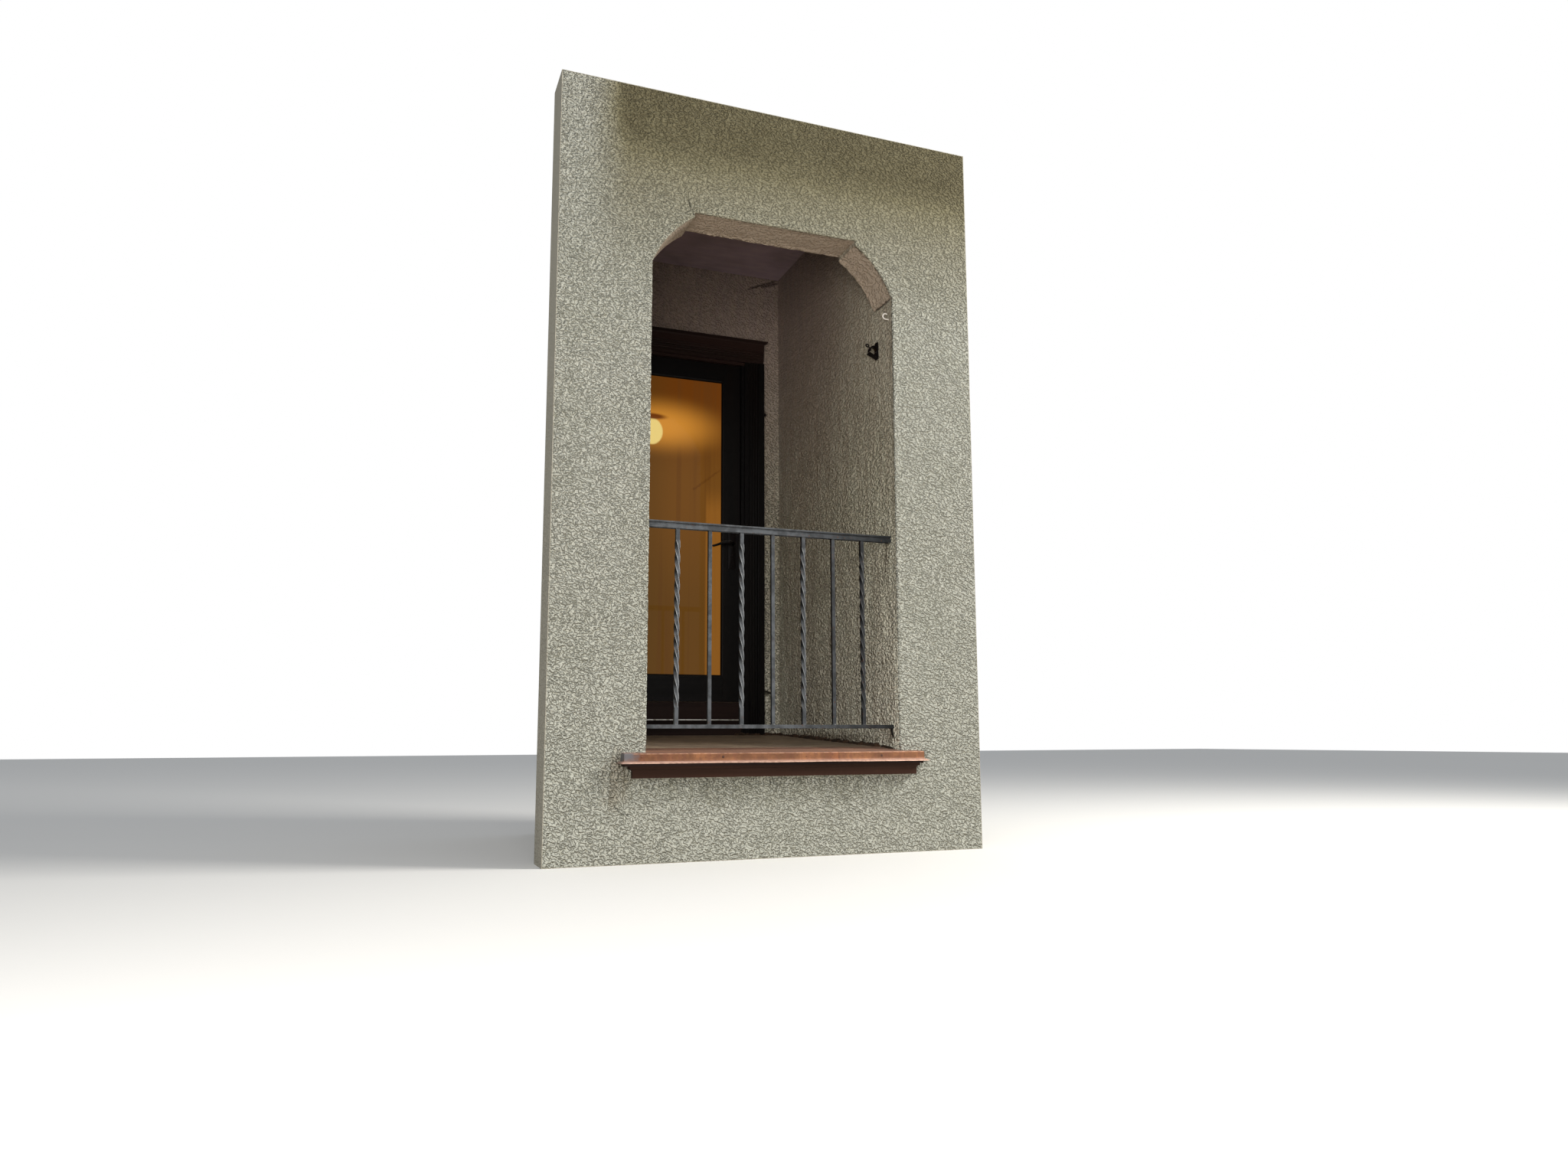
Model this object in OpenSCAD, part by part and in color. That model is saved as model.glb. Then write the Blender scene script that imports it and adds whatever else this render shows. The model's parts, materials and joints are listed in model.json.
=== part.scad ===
// A recessed juliet balcony: a bay of rendered wall with an arched-corner opening, a
// copper-clad sill, an iron guard rail between the jambs, and a glazed door at the back.
// X runs right along the facade, Y into the wall and Z up. Inside the modules, Y counts
// from the facade's face and Z from the front edge of the recess floor.

/* [Opening] */
// Clear width between the jambs
opening_w = 1140; // [1000:10:1500]
// Height of the flat soffit
soffit_z = 2307; // [2200:1:2500]
// Width of each curved corner
corner_w = 185; // [140:1:260]
// Height of each curved corner, below its shoulder
corner_h = 225; // [180:1:300]
// Rise of the corner's arc over its chord
corner_bulge = 23; // [10:1:40]
// Small vertical step where the arc meets the soffit
shoulder_h = 22; // [8:1:40]
// Small level ledge where the arc meets the jamb
ledge_w = 3; // [2:1:12]

/* [Walls] */
// Thickness of the front wall
front_wall_t = 185; // [140:1:200]
// Width of wall kept each side of the opening
pier_w = 400; // [200:10:800]
// Wall kept below the front edge of the floor
apron_h = 450; // [400:10:1200]
// Depth from the facade's face to the back wall's face
recess_d = 1466; // [1000:1:2000]
// Height of the recess ceiling
ceiling_z = 2740; // [2600:1:3000]
// Thickness of the ceiling
ceiling_t = 100; // [60:1:250]
// Thickness of each side wall of the recess
cheek_t = 150; // [90:1:300]
// Thickness of the back wall
back_wall_t = 150; // [140:1:250]

/* [Floor] */
// Rise of the deck from its front edge to the back wall
floor_rise = 57; // [10:1:60]
// Thickness of the deck
deck_t = 20; // [12:1:40]
// Depth of the floor's structure, below the deck at the front
slab_t = 230; // [150:1:300]

/* [Sill] */
// Projection of the sill in front of the facade
sill_out = 61; // [40:1:120]
// Thickness of the wooden sill
sill_t = 48; // [44:1:80]
// Length of the sill past each jamb
sill_horn = 92; // [60:1:160]
// How far the sill sits to the left of the opening's middle
sill_shift = 8; // [0:1:20]
// Fall of the sill's top towards its nose
sill_fall = 18; // [2:1:24]
// Thickness of the copper sheet
copper_t = 2; // [1:0.5:3]
// Height of the copper's front face
copper_face_h = 30; // [20:1:33]
// Height of the drip flange
drip_h = 8; // [6:1:12]
// How far the drip flange kicks out
drip_out = 19; // [10:1:24]
// Height of the moulding under the sill
bed_h = 47; // [38:1:80]
// Projection of the moulding at its top
bed_out = 45; // [40:1:56]
// Projection of the moulding at its foot
bed_foot_out = 33; // [26:1:36]
// Height of the moulding's square top edge
bed_lip = 10; // [6:1:14]
// Length of the moulding's back past each jamb
bed_horn = 27; // [10:1:60]

/* [Guard rail] */
// Height of the rail's top
rail_z = 946; // [850:1:1100]
// Distance from the facade's face to the rail's centre
rail_setback = 69; // [40:1:120]
// Width of the flat cap
cap_w = 32; // [28:1:50]
// Thickness of the flat cap
cap_t = 8; // [6:1:12]
// Radius of the flat cap's long edges
cap_edge_r = 2.5; // [1:0.5:2.5]
// Height of the narrow neck under the cap
neck_h = 6; // [3:1:12]
// Width of the narrow neck under the cap
neck_w = 18; // [10:1:24]
// Width of the two channels
channel_w = 25; // [24:1:36]
// Height of the two channels
channel_h = 16; // [10:1:26]
// Thickness of the channels' walls
channel_t = 3; // [2:0.5:3]
// Height of the bottom channel's top
bottom_rail_z = 97; // [60:1:160]
// Number of balusters
baluster_n = 7; // [5:1:9]
// Side of each square bar
bar_w = 15.9; // [10:0.1:18]
// Plain length at the top of a twisted bar
plain_top = 55; // [40:1:120]
// Plain length at the foot of a twisted bar
plain_foot = 63; // [40:1:120]
// Quarter turns along a twisted bar
quarter_turns = 12; // [6:1:16]

/* [Door frame] */
// Clear width between the frame's stops
door_w = 684; // [600:1:760]
// Thickness of the frame's jambs
jamb_t = 32; // [24:1:45]
// Depth of the rabbet that the leaf closes in
stop_t = 12; // [8:1:16]
// Distance from the back wall's face to the leaf's face
leaf_setback = 28; // [10:1:30]
// Height of the metal threshold's underside
threshold_z = 137; // [100:1:180]
// Thickness of the metal threshold
threshold_t = 7; // [4:1:12]
// Projection of the metal threshold
threshold_out = 22; // [12:1:30]
// Height of the sill board
sill_board_h = 98; // [60:1:130]
// Fall of the sill board's top towards its face
board_fall = 5; // [2:1:12]
// Thickness of the riser board
riser_t = 30; // [18:1:40]

/* [Casing] */
// Thickness of the casing's outer band
casing_t = 24; // [20:1:34]
// Step between the faces of the casing
casing_step = 6; // [3:1:7]
// Width of the casing's legs
casing_w = 114; // [100:1:130]
// Height of the head casing
casing_head_h = 100; // [90:1:130]
// Width of the casing's plain inner step
casing_inner_w = 22; // [14:1:26]
// Width of the casing's plain outer band
casing_outer_w = 28; // [18:1:32]
// Width of frame left showing inside the casing
casing_reveal = 17; // [6:1:18]
// Radius of the cutter of the casing's flutes
flute_r = 6; // [4:0.5:7]
// Depth of the casing's flutes
flute_deep = 3; // [1.5:0.5:4]
// Number of flutes in a casing leg
flute_n = 4; // [2:1:4]
// Height of the cap on the head casing
head_cap_h = 32; // [26:1:50]
// Overhang of the cap past the casing
head_cap_out = 18; // [12:1:24]
// Height of the cap's rounded nose
head_cap_nose_h = 9; // [5:1:12]
// Small square step between the cap's nose and its cove
head_cap_quirk = 1; // [0.5:0.5:2]

/* [Door leaf] */
// Height of the leaf that shows below the frame's head
leaf_h = 1946; // [1900:1:2000]
// Thickness of the leaf
leaf_t = 44; // [42:1:50]
// Width of each stile that shows outside the bead
stile_w = 98; // [80:1:120]
// Height of the top rail that shows outside the bead
rail_top_h = 98; // [80:1:130]
// Height of the bottom rail that shows outside the bead
rail_foot_h = 137; // [100:1:250]
// Gap round the leaf in its rabbet
leaf_gap = 3; // [2:0.5:4]
// Thickness of the sealed glass
glass_t = 16; // [6:1:18]
// Radius of the bead round the glass
bead_r = 12; // [8:1:12]

/* [Door handle] */
// Height of the lever
handle_z = 1134; // [950:1:1250]
// Length of the lever past its neck
lever_l = 130; // [90:1:140]
// Radius of the lever and its neck
lever_r = 9; // [6:0.5:11]
// Distance from the plate to the lever's centre
lever_out = 40; // [30:1:50]
// Height of the back plate
plate_h = 220; // [140:1:260]
// Width of the back plate
plate_w = 45; // [30:1:60]
// Thickness of the back plate
plate_t = 6; // [4:1:8]

/* [Left iron] */
// Height of the small hook's stem
hook_z = 1969; // [1900:1:2010]
// Distance from the facade's face to the hook
hook_y = 41; // [25:1:120]
// Distance from the wall to the end of the hook's bend
hook_out = 32; // [28:1:45]
// Radius of the hook's bend
hook_r = 13; // [8:1:16]
// Radius of the hook's wire
hook_wire_r = 3; // [1.5:0.5:4]
// Angle above level at which the hook's tip ends
hook_tip_angle = 50; // [20:5:80]
// Height of the middle of the broken bracket
bracket_z = 1857; // [1800:1:1900]
// Distance from the facade's face to the bracket
bracket_y = 165; // [40:1:170]
// Height of the bracket's back strap
strap_h = 82; // [76:1:90]
// Width of the bracket's straps
strap_w = 30; // [10:1:36]
// Thickness of the bracket's straps
strap_t = 5; // [3:0.5:6]
// Outer radius of the bracket's broken ring
clamp_r = 21; // [14:1:24]
// Angle at which the broken ring starts, from the wall
clamp_start = -70; // [-90:5:-40]
// Angle at which the broken ring ends
clamp_end = 200; // [180:5:220]
// Length of the bent tongue under the ring
tongue_l = 52; // [30:1:60]
// Rise of the tongue above level, in degrees
tongue_tilt = 24; // [10:1:40]
// Length of the link from the ring to the eye
link_l = 6; // [3:1:12]
// Angle of the link above level
link_angle = 142; // [120:1:160]
// Radius of the eye's bend
eye_r = 6.5; // [5:0.5:10]
// Radius of the wire of the link and the eye
eye_wire_r = 3; // [1.5:0.5:4]

/* [Hidden] */

// Colours
render_col = [0.66, 0.64, 0.57];
cheek_col = [0.5, 0.46, 0.41];
ceiling_col = [0.36, 0.31, 0.29];
deck_col = [0.25, 0.22, 0.2];
dark_wood_col = [0.09, 0.06, 0.05];
brown_col = [0.2, 0.12, 0.09];
metal_col = [0.7, 0.7, 0.7];
glass_col = [0.75, 0.5, 0.22, 0.6];
iron_col = [0.4, 0.42, 0.45];
copper_col = [0.62, 0.34, 0.2];
black_col = [0.08, 0.08, 0.08];
white_col = [0.85, 0.85, 0.83];

// Left and right, as the sign of X
left = -1;
right = 1;

// Smoothness of large and small round work, and the overshoot of a cutter
fine_fn = 180;
small_fn = 48;
eps = 0.01;

// Levels and faces that several pieces share
half_w = opening_w / 2;
wall_top_z = ceiling_z + ceiling_t;
back_face_y = recess_d + back_wall_t;
deck_run = recess_d - front_wall_t;
sill_foot_z = -sill_fall - copper_t - sill_t;
sill_end = half_w + sill_horn;
front_y = -sill_out - drip_out;
centre_y = (front_y + back_face_y) / 2;

// The corner's arc, from the ledge at the spring to the foot of the shoulder
shoulder_z = soffit_z - shoulder_h;
spring_z = shoulder_z - corner_h;
arc_w = corner_w - ledge_w;
arc_chord = norm([arc_w, corner_h]);
arc_r = arc_chord ^ 2 / (8 * corner_bulge) + corner_bulge / 2;
chord_to_centre = arc_r - corner_bulge;
arc_x = half_w - ledge_w - arc_w / 2 - chord_to_centre * corner_h / arc_chord;
arc_z = spring_z + corner_h / 2 - chord_to_centre * arc_w / arc_chord;

// Levels and widths of the door
frame_w = door_w + 2 * jamb_t;
sill_board_z = threshold_z + threshold_t;
leaf_z = sill_board_z + sill_board_h;
leaf_top_z = leaf_z + leaf_h;
frame_top_z = leaf_top_z + jamb_t;
leaf_y = recess_d + leaf_setback;
leaf_lap = stop_t - leaf_gap;
light_w = door_w - 2 * stile_w;
light_z = leaf_z + rail_foot_h;
light_top_z = leaf_top_z - rail_top_h;
glass_y = leaf_y + (leaf_t - glass_t) / 2;
casing_in = door_w / 2 + casing_reveal;
casing_out = casing_in + casing_w;
casing_head_z = leaf_top_z + casing_reveal;
head_cap_z = casing_head_z + casing_head_h;

// The bars of the guard rail
channel_top_z = rail_z - cap_t - neck_h;
bar_l = channel_top_z - channel_t - bottom_rail_z;
twist_l = bar_l - plain_top - plain_foot;
bar_pitch = opening_w / (baluster_n + 1);
slices_per_quarter = 9;
bar_sides = 4;

// Shapes and frames to draw with

// A rectangle with rounded corners, by its middle and its size
module rounded_rect(size, r) {
    square([size.x - 2 * r, size.y], center = true);
    square([size.x, size.y - 2 * r], center = true);
    for (side_x = [-1, 1], side_y = [-1, 1])
        translate([side_x * (size.x / 2 - r), side_y * (size.y / 2 - r)]) circle(r, $fn = small_fn);
}

// Stands the bay on its base, with the middle of its depth at the origin
module on_base() {
    translate([0, -centre_y, apron_h]) children();
}

// A block between two corners
module block(low, high) {
    translate(low) cube(high - low);
}

// A section drawn in Y and Z, run along X and centred on it
module along_x(length) {
    translate([-length / 2, 0, 0]) rotate([90, 0, 90]) linear_extrude(length) children();
}

// A moulding on a wall's face with returned ends. The section is drawn with the
// projection along X and the height along Y, so at each height its plan is a rectangle.
module returned(half_l, reach, height) {
    intersection() {
        along_x(2 * (half_l + reach)) mirror([1, 0]) children();
        rotate([90, 0, 0]) linear_extrude(reach) {
            translate([-half_l, 0]) square([2 * half_l, height]);
            translate([half_l, 0]) children();
            translate([-half_l, 0]) mirror([1, 0]) children();
        }
    }
}

// Walls

module front_pier(side) {
    x0 = side == left ? -half_w - pier_w : half_w;
    color(render_col) on_base()
        block([x0, 0, -apron_h], [x0 + pier_w, front_wall_t, wall_top_z]);
}

// The head of the opening: a flat soffit between two shouldered arcs
module head_outline() {
    translate([corner_w - half_w, spring_z - eps])
        square([opening_w - 2 * corner_w, soffit_z - spring_z + eps]);
    for (side = [left, right])
        intersection() {
            translate([side * arc_x, arc_z]) circle(arc_r, $fn = fine_fn);
            translate([side == left ? -half_w : 0, spring_z - eps])
                square([half_w, corner_h + shoulder_h / 2]);
        }
}

module front_header() {
    color(render_col) on_base() translate([0, front_wall_t, 0]) rotate([90, 0, 0])
        linear_extrude(front_wall_t) difference() {
            translate([-half_w, spring_z]) square([opening_w, wall_top_z - spring_z]);
            head_outline();
        }
}

module apron_wall() {
    color(render_col) on_base()
        block([-half_w, 0, -apron_h], [half_w, front_wall_t, sill_foot_z]);
}

module cheek(side) {
    x0 = side == left ? -half_w - cheek_t : half_w;
    color(cheek_col) on_base()
        block([x0, front_wall_t, -apron_h], [x0 + cheek_t, back_face_y, wall_top_z]);
}

module recess_ceiling() {
    color(ceiling_col) on_base()
        block([-half_w, front_wall_t, ceiling_z], [half_w, recess_d, wall_top_z]);
}

// Floor: a deck that slopes to the front, on a slab with a level underside

module floor_slab() {
    color(deck_col) on_base() along_x(opening_w) polygon([
        [front_wall_t, -deck_t - slab_t],
        [recess_d, -deck_t - slab_t],
        [recess_d, floor_rise - deck_t],
        [front_wall_t, -deck_t]
    ]);
}

module floor_deck() {
    color(deck_col) on_base() along_x(opening_w) polygon([
        [front_wall_t, -deck_t],
        [recess_d, floor_rise - deck_t],
        [recess_d, floor_rise],
        [front_wall_t, 0]
    ]);
}

// Back wall, round the frame of the door

module back_wall_side(side) {
    wall_w = half_w - frame_w / 2;
    x0 = side == left ? -half_w : frame_w / 2;
    color(cheek_col) on_base()
        block([x0, recess_d, -apron_h], [x0 + wall_w, back_face_y, wall_top_z]);
}

module back_wall_head() {
    color(cheek_col) on_base()
        block([-frame_w / 2, recess_d, frame_top_z], [frame_w / 2, back_face_y, wall_top_z]);
}

// The wall under the door, which steps up behind the riser
module back_wall_under() {
    color(cheek_col) on_base() {
        block([-frame_w / 2, recess_d, -apron_h], [frame_w / 2, back_face_y, floor_rise]);
        block([-door_w / 2, recess_d + riser_t, floor_rise], [door_w / 2, back_face_y, threshold_z]);
    }
}

// Door frame: jambs and head with a rabbet for the leaf

module jamb(side) {
    color(dark_wood_col) on_base() mirror([side == left ? 1 : 0, 0, 0]) difference() {
        block([door_w / 2, recess_d, floor_rise], [frame_w / 2, back_face_y, leaf_top_z]);
        block([door_w / 2 - eps, leaf_y, leaf_z], [door_w / 2 + stop_t, back_face_y + eps, leaf_top_z + eps]);
    }
}

module jamb_head() {
    color(dark_wood_col) on_base() difference() {
        block([-frame_w / 2, recess_d, leaf_top_z], [frame_w / 2, back_face_y, frame_top_z]);
        block([-door_w / 2 - stop_t, leaf_y, leaf_top_z - eps],
            [door_w / 2 + stop_t, back_face_y + eps, leaf_top_z + stop_t]);
    }
}

module riser_board() {
    color(brown_col) on_base()
        block([-door_w / 2, recess_d, floor_rise], [door_w / 2, recess_d + riser_t, threshold_z]);
}

module metal_threshold() {
    color(metal_col) on_base()
        block([-door_w / 2, recess_d - threshold_out, threshold_z], [door_w / 2, back_face_y, sill_board_z]);
}

module sill_board() {
    color(brown_col) on_base() along_x(door_w) polygon([
        [recess_d, sill_board_z],
        [back_face_y, sill_board_z],
        [back_face_y, leaf_z],
        [leaf_y, leaf_z],
        [recess_d, leaf_z - board_fall]
    ]);
}

// Casing: an inner step, a fluted field and an outer band, drawn from its inner edge
module casing_section(width) {
    field_w = width - casing_inner_w - casing_outer_w;
    field_t = casing_t - casing_step;
    flute_pitch = field_w / flute_n;
    difference() {
        union() {
            translate([0, -field_t + casing_step]) square([width, field_t - casing_step]);
            translate([casing_inner_w, -field_t]) square([width - casing_inner_w, field_t]);
            translate([width - casing_outer_w, -casing_t]) square([casing_outer_w, casing_t]);
        }
        for (k = [0:flute_n - 1])
            translate([casing_inner_w + (k + 0.5) * flute_pitch, -field_t - flute_r + flute_deep])
                circle(flute_r, $fn = small_fn);
    }
}

module casing_leg(side) {
    color(dark_wood_col) on_base() mirror([side == left ? 1 : 0, 0, 0])
        translate([casing_in, recess_d, floor_rise])
        linear_extrude(casing_head_z - floor_rise) casing_section(casing_w);
}

module casing_head() {
    color(dark_wood_col) on_base() translate([0, recess_d, casing_head_z])
        along_x(2 * casing_out) mirror([1, -1]) casing_section(casing_head_h);
}

// The cap is a cove under a rounded nose, returned to the wall at both ends
module casing_cap() {
    nose_r = head_cap_nose_h / 2;
    reach = casing_t + head_cap_out;
    cove_r = head_cap_out - nose_r - head_cap_quirk;
    cove_x = casing_t + cove_r;
    cove_z = head_cap_h - head_cap_nose_h - head_cap_quirk - cove_r;
    color(dark_wood_col) on_base() translate([0, recess_d, head_cap_z])
        returned(casing_out - casing_t, reach, head_cap_h) {
            difference() {
                square([reach - nose_r, head_cap_h]);
                translate([cove_x, cove_z]) circle(cove_r, $fn = small_fn);
                translate([cove_x, -eps]) square([head_cap_out, head_cap_h - head_cap_nose_h + eps]);
                translate([casing_t, -eps]) square([head_cap_out, cove_z + eps]);
            }
            translate([reach - nose_r, head_cap_h - nose_r]) circle(nose_r, $fn = small_fn);
        }
}

// Door leaf

module door_stile(side) {
    color(dark_wood_col) on_base() mirror([side == left ? 1 : 0, 0, 0])
        block([light_w / 2, leaf_y, leaf_z],
            [door_w / 2 + leaf_lap, leaf_y + leaf_t, leaf_top_z + leaf_lap]);
}

module door_rail_top() {
    color(dark_wood_col) on_base()
        block([-light_w / 2, leaf_y, light_top_z], [light_w / 2, leaf_y + leaf_t, leaf_top_z + leaf_lap]);
}

module door_rail_bottom() {
    color(dark_wood_col) on_base()
        block([-light_w / 2, leaf_y, leaf_z], [light_w / 2, leaf_y + leaf_t, light_z]);
}

// The clear part of a bead, from its outer edge to the glass: a square less a
// quarter round at each side. Y counts from the glass.
module bead_clear(low, high) {
    difference() {
        translate([low, -bead_r - eps]) square([high - low, bead_r + 2 * eps]);
        for (edge = [low, high])
            translate([edge, 0]) circle(bead_r, $fn = small_fn);
    }
}

// A mitred quarter-round bead against one face of the glass
module bead_frame() {
    difference() {
        block([-light_w / 2, -bead_r, light_z], [light_w / 2, 0, light_top_z]);
        intersection() {
            translate([0, 0, light_z - eps]) linear_extrude(light_top_z - light_z + 2 * eps)
                bead_clear(-light_w / 2, light_w / 2);
            along_x(light_w + 2 * eps) mirror([1, -1]) bead_clear(light_z, light_top_z);
        }
    }
}

module door_glazing_bead() {
    color(dark_wood_col) on_base() {
        translate([0, glass_y, 0]) bead_frame();
        translate([0, glass_y + glass_t, 0]) mirror([0, 1, 0]) bead_frame();
    }
}

module door_glass() {
    color(glass_col) on_base()
        block([-light_w / 2, glass_y, light_z], [light_w / 2, glass_y + glass_t, light_top_z]);
}

// One side of the handle: a plate with round ends, a neck, and a lever that turns
// towards the glass. Y counts from the leaf's face.
module lever_side() {
    translate([0, 0, -plate_h / 3]) rotate([90, 0, 0]) linear_extrude(plate_t) {
        square([plate_w, plate_h - plate_w], center = true);
        for (end = [-1, 1])
            translate([0, end * (plate_h - plate_w) / 2]) circle(d = plate_w, $fn = small_fn);
    }
    rotate([90, 0, 0]) cylinder(h = lever_out, r = lever_r, $fn = small_fn);
    translate([0, -lever_out, 0]) {
        sphere(lever_r, $fn = small_fn);
        rotate([0, -90, 0]) cylinder(h = lever_l, r = lever_r, $fn = small_fn);
        translate([-lever_l, 0, 0]) sphere(lever_r, $fn = small_fn);
    }
}

module door_handle() {
    handle_x = (door_w - stile_w) / 2;
    color(black_col) on_base() translate([handle_x, 0, handle_z]) {
        translate([0, leaf_y, 0]) lever_side();
        translate([0, leaf_y + leaf_t, 0]) mirror([0, 1, 0]) lever_side();
    }
}

// Sill: a wooden core in a copper tray, over a bed moulding

// The height of the sill's top at a distance behind the facade
function sill_top(y) = sill_fall * (y - front_wall_t) / (sill_out + front_wall_t);

module sill_core() {
    color(brown_col) on_base() {
        translate([-sill_shift, 0, 0]) along_x(2 * (sill_end - copper_t)) polygon([
            [copper_t - sill_out, sill_foot_z],
            [0, sill_foot_z],
            [0, sill_top(0) - copper_t],
            [copper_t - sill_out, sill_top(copper_t - sill_out) - copper_t]
        ]);
        along_x(opening_w) polygon([
            [-eps, sill_foot_z],
            [front_wall_t, sill_foot_z],
            [front_wall_t, -copper_t],
            [-eps, sill_top(0) - copper_t]
        ]);
    }
}

// The copper over the nose, bent down at its front and ends
module copper_nose() {
    foot_z = -sill_fall - copper_face_h;
    difference() {
        along_x(2 * sill_end) polygon([
            [-sill_out, foot_z],
            [0, foot_z],
            [0, sill_top(0)],
            [-sill_out, sill_top(-sill_out)]
        ]);
        along_x(2 * (sill_end - copper_t)) polygon([
            [copper_t - sill_out, foot_z - eps],
            [eps, foot_z - eps],
            [eps, sill_top(eps) - copper_t],
            [copper_t - sill_out, sill_top(copper_t - sill_out) - copper_t]
        ]);
    }
}

// The drip flange, which kicks out from the foot of the copper's face on three sides.
// Its sheet lies slanted, so its thickness along the level is larger.
module copper_drip() {
    core_out = sill_out - copper_t;
    half_l = sill_end - sill_out;
    level_t = copper_t * norm([drip_out, drip_h]) / drip_h;
    inner_h = drip_h * (drip_out - level_t + copper_t) / drip_out;
    translate([0, 0, -sill_fall - copper_face_h - drip_h]) difference() {
        returned(half_l, sill_out + drip_out, drip_h) polygon([
            [0, 0],
            [sill_out + drip_out, 0],
            [sill_out, drip_h],
            [0, drip_h]
        ]);
        returned(half_l, sill_out + drip_out, drip_h) polygon([
            [0, 0],
            [sill_out + drip_out - level_t, 0],
            [core_out, inner_h],
            [core_out, drip_h],
            [0, drip_h]
        ]);
    }
}

module copper_sill() {
    color(copper_col) on_base() {
        along_x(opening_w) polygon([
            [-eps, sill_top(0) - copper_t],
            [front_wall_t, -copper_t],
            [front_wall_t, 0],
            [-eps, sill_top(0)]
        ]);
        translate([-sill_shift, 0, 0]) {
            copper_nose();
            copper_drip();
        }
    }
}

// The bed moulding is a cove under a square edge, returned to the wall at both ends
module bed_moulding() {
    cove_r = bed_out - bed_foot_out;
    cove_z = bed_h - bed_lip - cove_r;
    color(brown_col) on_base() translate([0, 0, sill_foot_z - bed_h])
        returned(half_w + bed_horn, bed_out, bed_h) difference() {
            square([bed_out, bed_h]);
            translate([bed_out, cove_z]) circle(cove_r, $fn = small_fn);
            translate([bed_foot_out, -eps]) square([cove_r + eps, cove_z + eps]);
        }
}

// Guard rail: a flat cap over a channel, a row of bars and a bottom channel, between the jambs

module guard_cap() {
    color(iron_col) on_base() translate([0, rail_setback, 0]) along_x(opening_w) {
        translate([0, rail_z - cap_t / 2]) rounded_rect([cap_w, cap_t], cap_edge_r);
        translate([-neck_w / 2, channel_top_z]) square([neck_w, neck_h + eps]);
    }
}

// A channel with its legs down, by the height of its top
module channel(top_z) {
    color(iron_col) on_base() translate([0, rail_setback, top_z]) along_x(opening_w)
        difference() {
            translate([-channel_w / 2, -channel_h]) square([channel_w, channel_h]);
            translate([channel_t - channel_w / 2, -channel_h - eps])
                square([channel_w - 2 * channel_t, channel_h - channel_t + eps]);
        }
}

module plain_bar(z, length) {
    translate([-bar_w / 2, -bar_w / 2, z]) cube([bar_w, bar_w, length]);
}

// Odd bars are twisted between plain ends, and even bars are plain
module baluster(k) {
    color(iron_col) on_base()
        translate([k * bar_pitch - half_w, rail_setback, bottom_rail_z])
        if (k % 2 == 1) {
            plain_bar(0, plain_foot);
            translate([0, 0, plain_foot]) linear_extrude(twist_l, twist = 90 * quarter_turns,
                slices = quarter_turns * slices_per_quarter, segments = bar_sides)
                square(bar_w, center = true);
            plain_bar(plain_foot + twist_l, plain_top);
        } else {
            plain_bar(0, bar_l);
        }
}

// Small iron left on the right cheek

// A screw hook: a stem out of the wall, and a bend that opens upwards
module cheek_hook() {
    stem_l = hook_out - hook_r - hook_wire_r;
    color(white_col) on_base() translate([half_w, hook_y, hook_z]) {
        rotate([0, -90, 0]) cylinder(h = stem_l, r = hook_wire_r, $fn = small_fn);
        translate([-stem_l, 0, hook_r]) rotate([90, 0, 0]) mirror([1, 0, 0]) rotate([0, 0, -90])
            rotate_extrude(angle = 270 - hook_tip_angle, $fn = small_fn)
            translate([hook_r, 0]) circle(hook_wire_r, $fn = small_fn);
    }
}

// The ring is broken open at its foot, and carries a small eye on a link
module broken_ring() {
    rotate([90, 0, 0]) rotate([0, 0, clamp_start])
        rotate_extrude(angle = clamp_end - clamp_start, $fn = small_fn)
        translate([clamp_r - strap_t, -strap_w / 2]) square([strap_t, strap_w]);
    rotate([0, -link_angle, 0]) {
        translate([clamp_r - strap_t / 2, 0, 0]) rotate([0, 90, 0])
            cylinder(h = link_l + strap_t / 2 + eye_wire_r, r = eye_wire_r, $fn = small_fn);
        translate([clamp_r + link_l + eye_wire_r + eye_r, 0, 0]) rotate([90, 0, 0])
            rotate_extrude($fn = small_fn) translate([eye_r, 0]) circle(eye_wire_r, $fn = small_fn);
    }
}

// A broken iron bracket: a back strap, a broken ring and a tongue bent up under it
module cheek_bracket() {
    color(black_col) on_base() translate([half_w, bracket_y, bracket_z]) {
        block([-strap_t, -strap_w / 2, -strap_h / 2], [0, strap_w / 2, strap_h / 2]);
        translate([-clamp_r - strap_t / 4, 0, 0]) broken_ring();
        translate([0, 0, strap_t - strap_h / 2]) rotate([0, tongue_tilt, 0])
            block([-tongue_l, -strap_w / 2, -strap_t / 2], [-strap_t / 2, strap_w / 2, strap_t / 2]);
    }
}

front_pier(left);  // front_pier_left
front_pier(right);  // front_pier_right
front_header();
apron_wall();
cheek(left);  // cheek_left
cheek(right);  // cheek_right
recess_ceiling();
floor_slab();
floor_deck();
back_wall_side(left);  // back_wall_left
back_wall_side(right);  // back_wall_right
back_wall_head();
back_wall_under();
jamb(left);  // jamb_left
jamb(right);  // jamb_right
jamb_head();
riser_board();
metal_threshold();
sill_board();
casing_leg(left);  // casing_left
casing_leg(right);  // casing_right
casing_head();
casing_cap();
door_stile(left);  // door_stile_left
door_stile(right);  // door_stile_right
door_rail_top();
door_rail_bottom();
door_glazing_bead();
door_glass();
door_handle();
sill_core();
copper_sill();
bed_moulding();
guard_cap();
channel(channel_top_z);  // guard_channel
channel(bottom_rail_z);  // guard_bottom_rail
for (k = [1:baluster_n]) baluster(k);
cheek_hook();
cheek_bracket();
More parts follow.
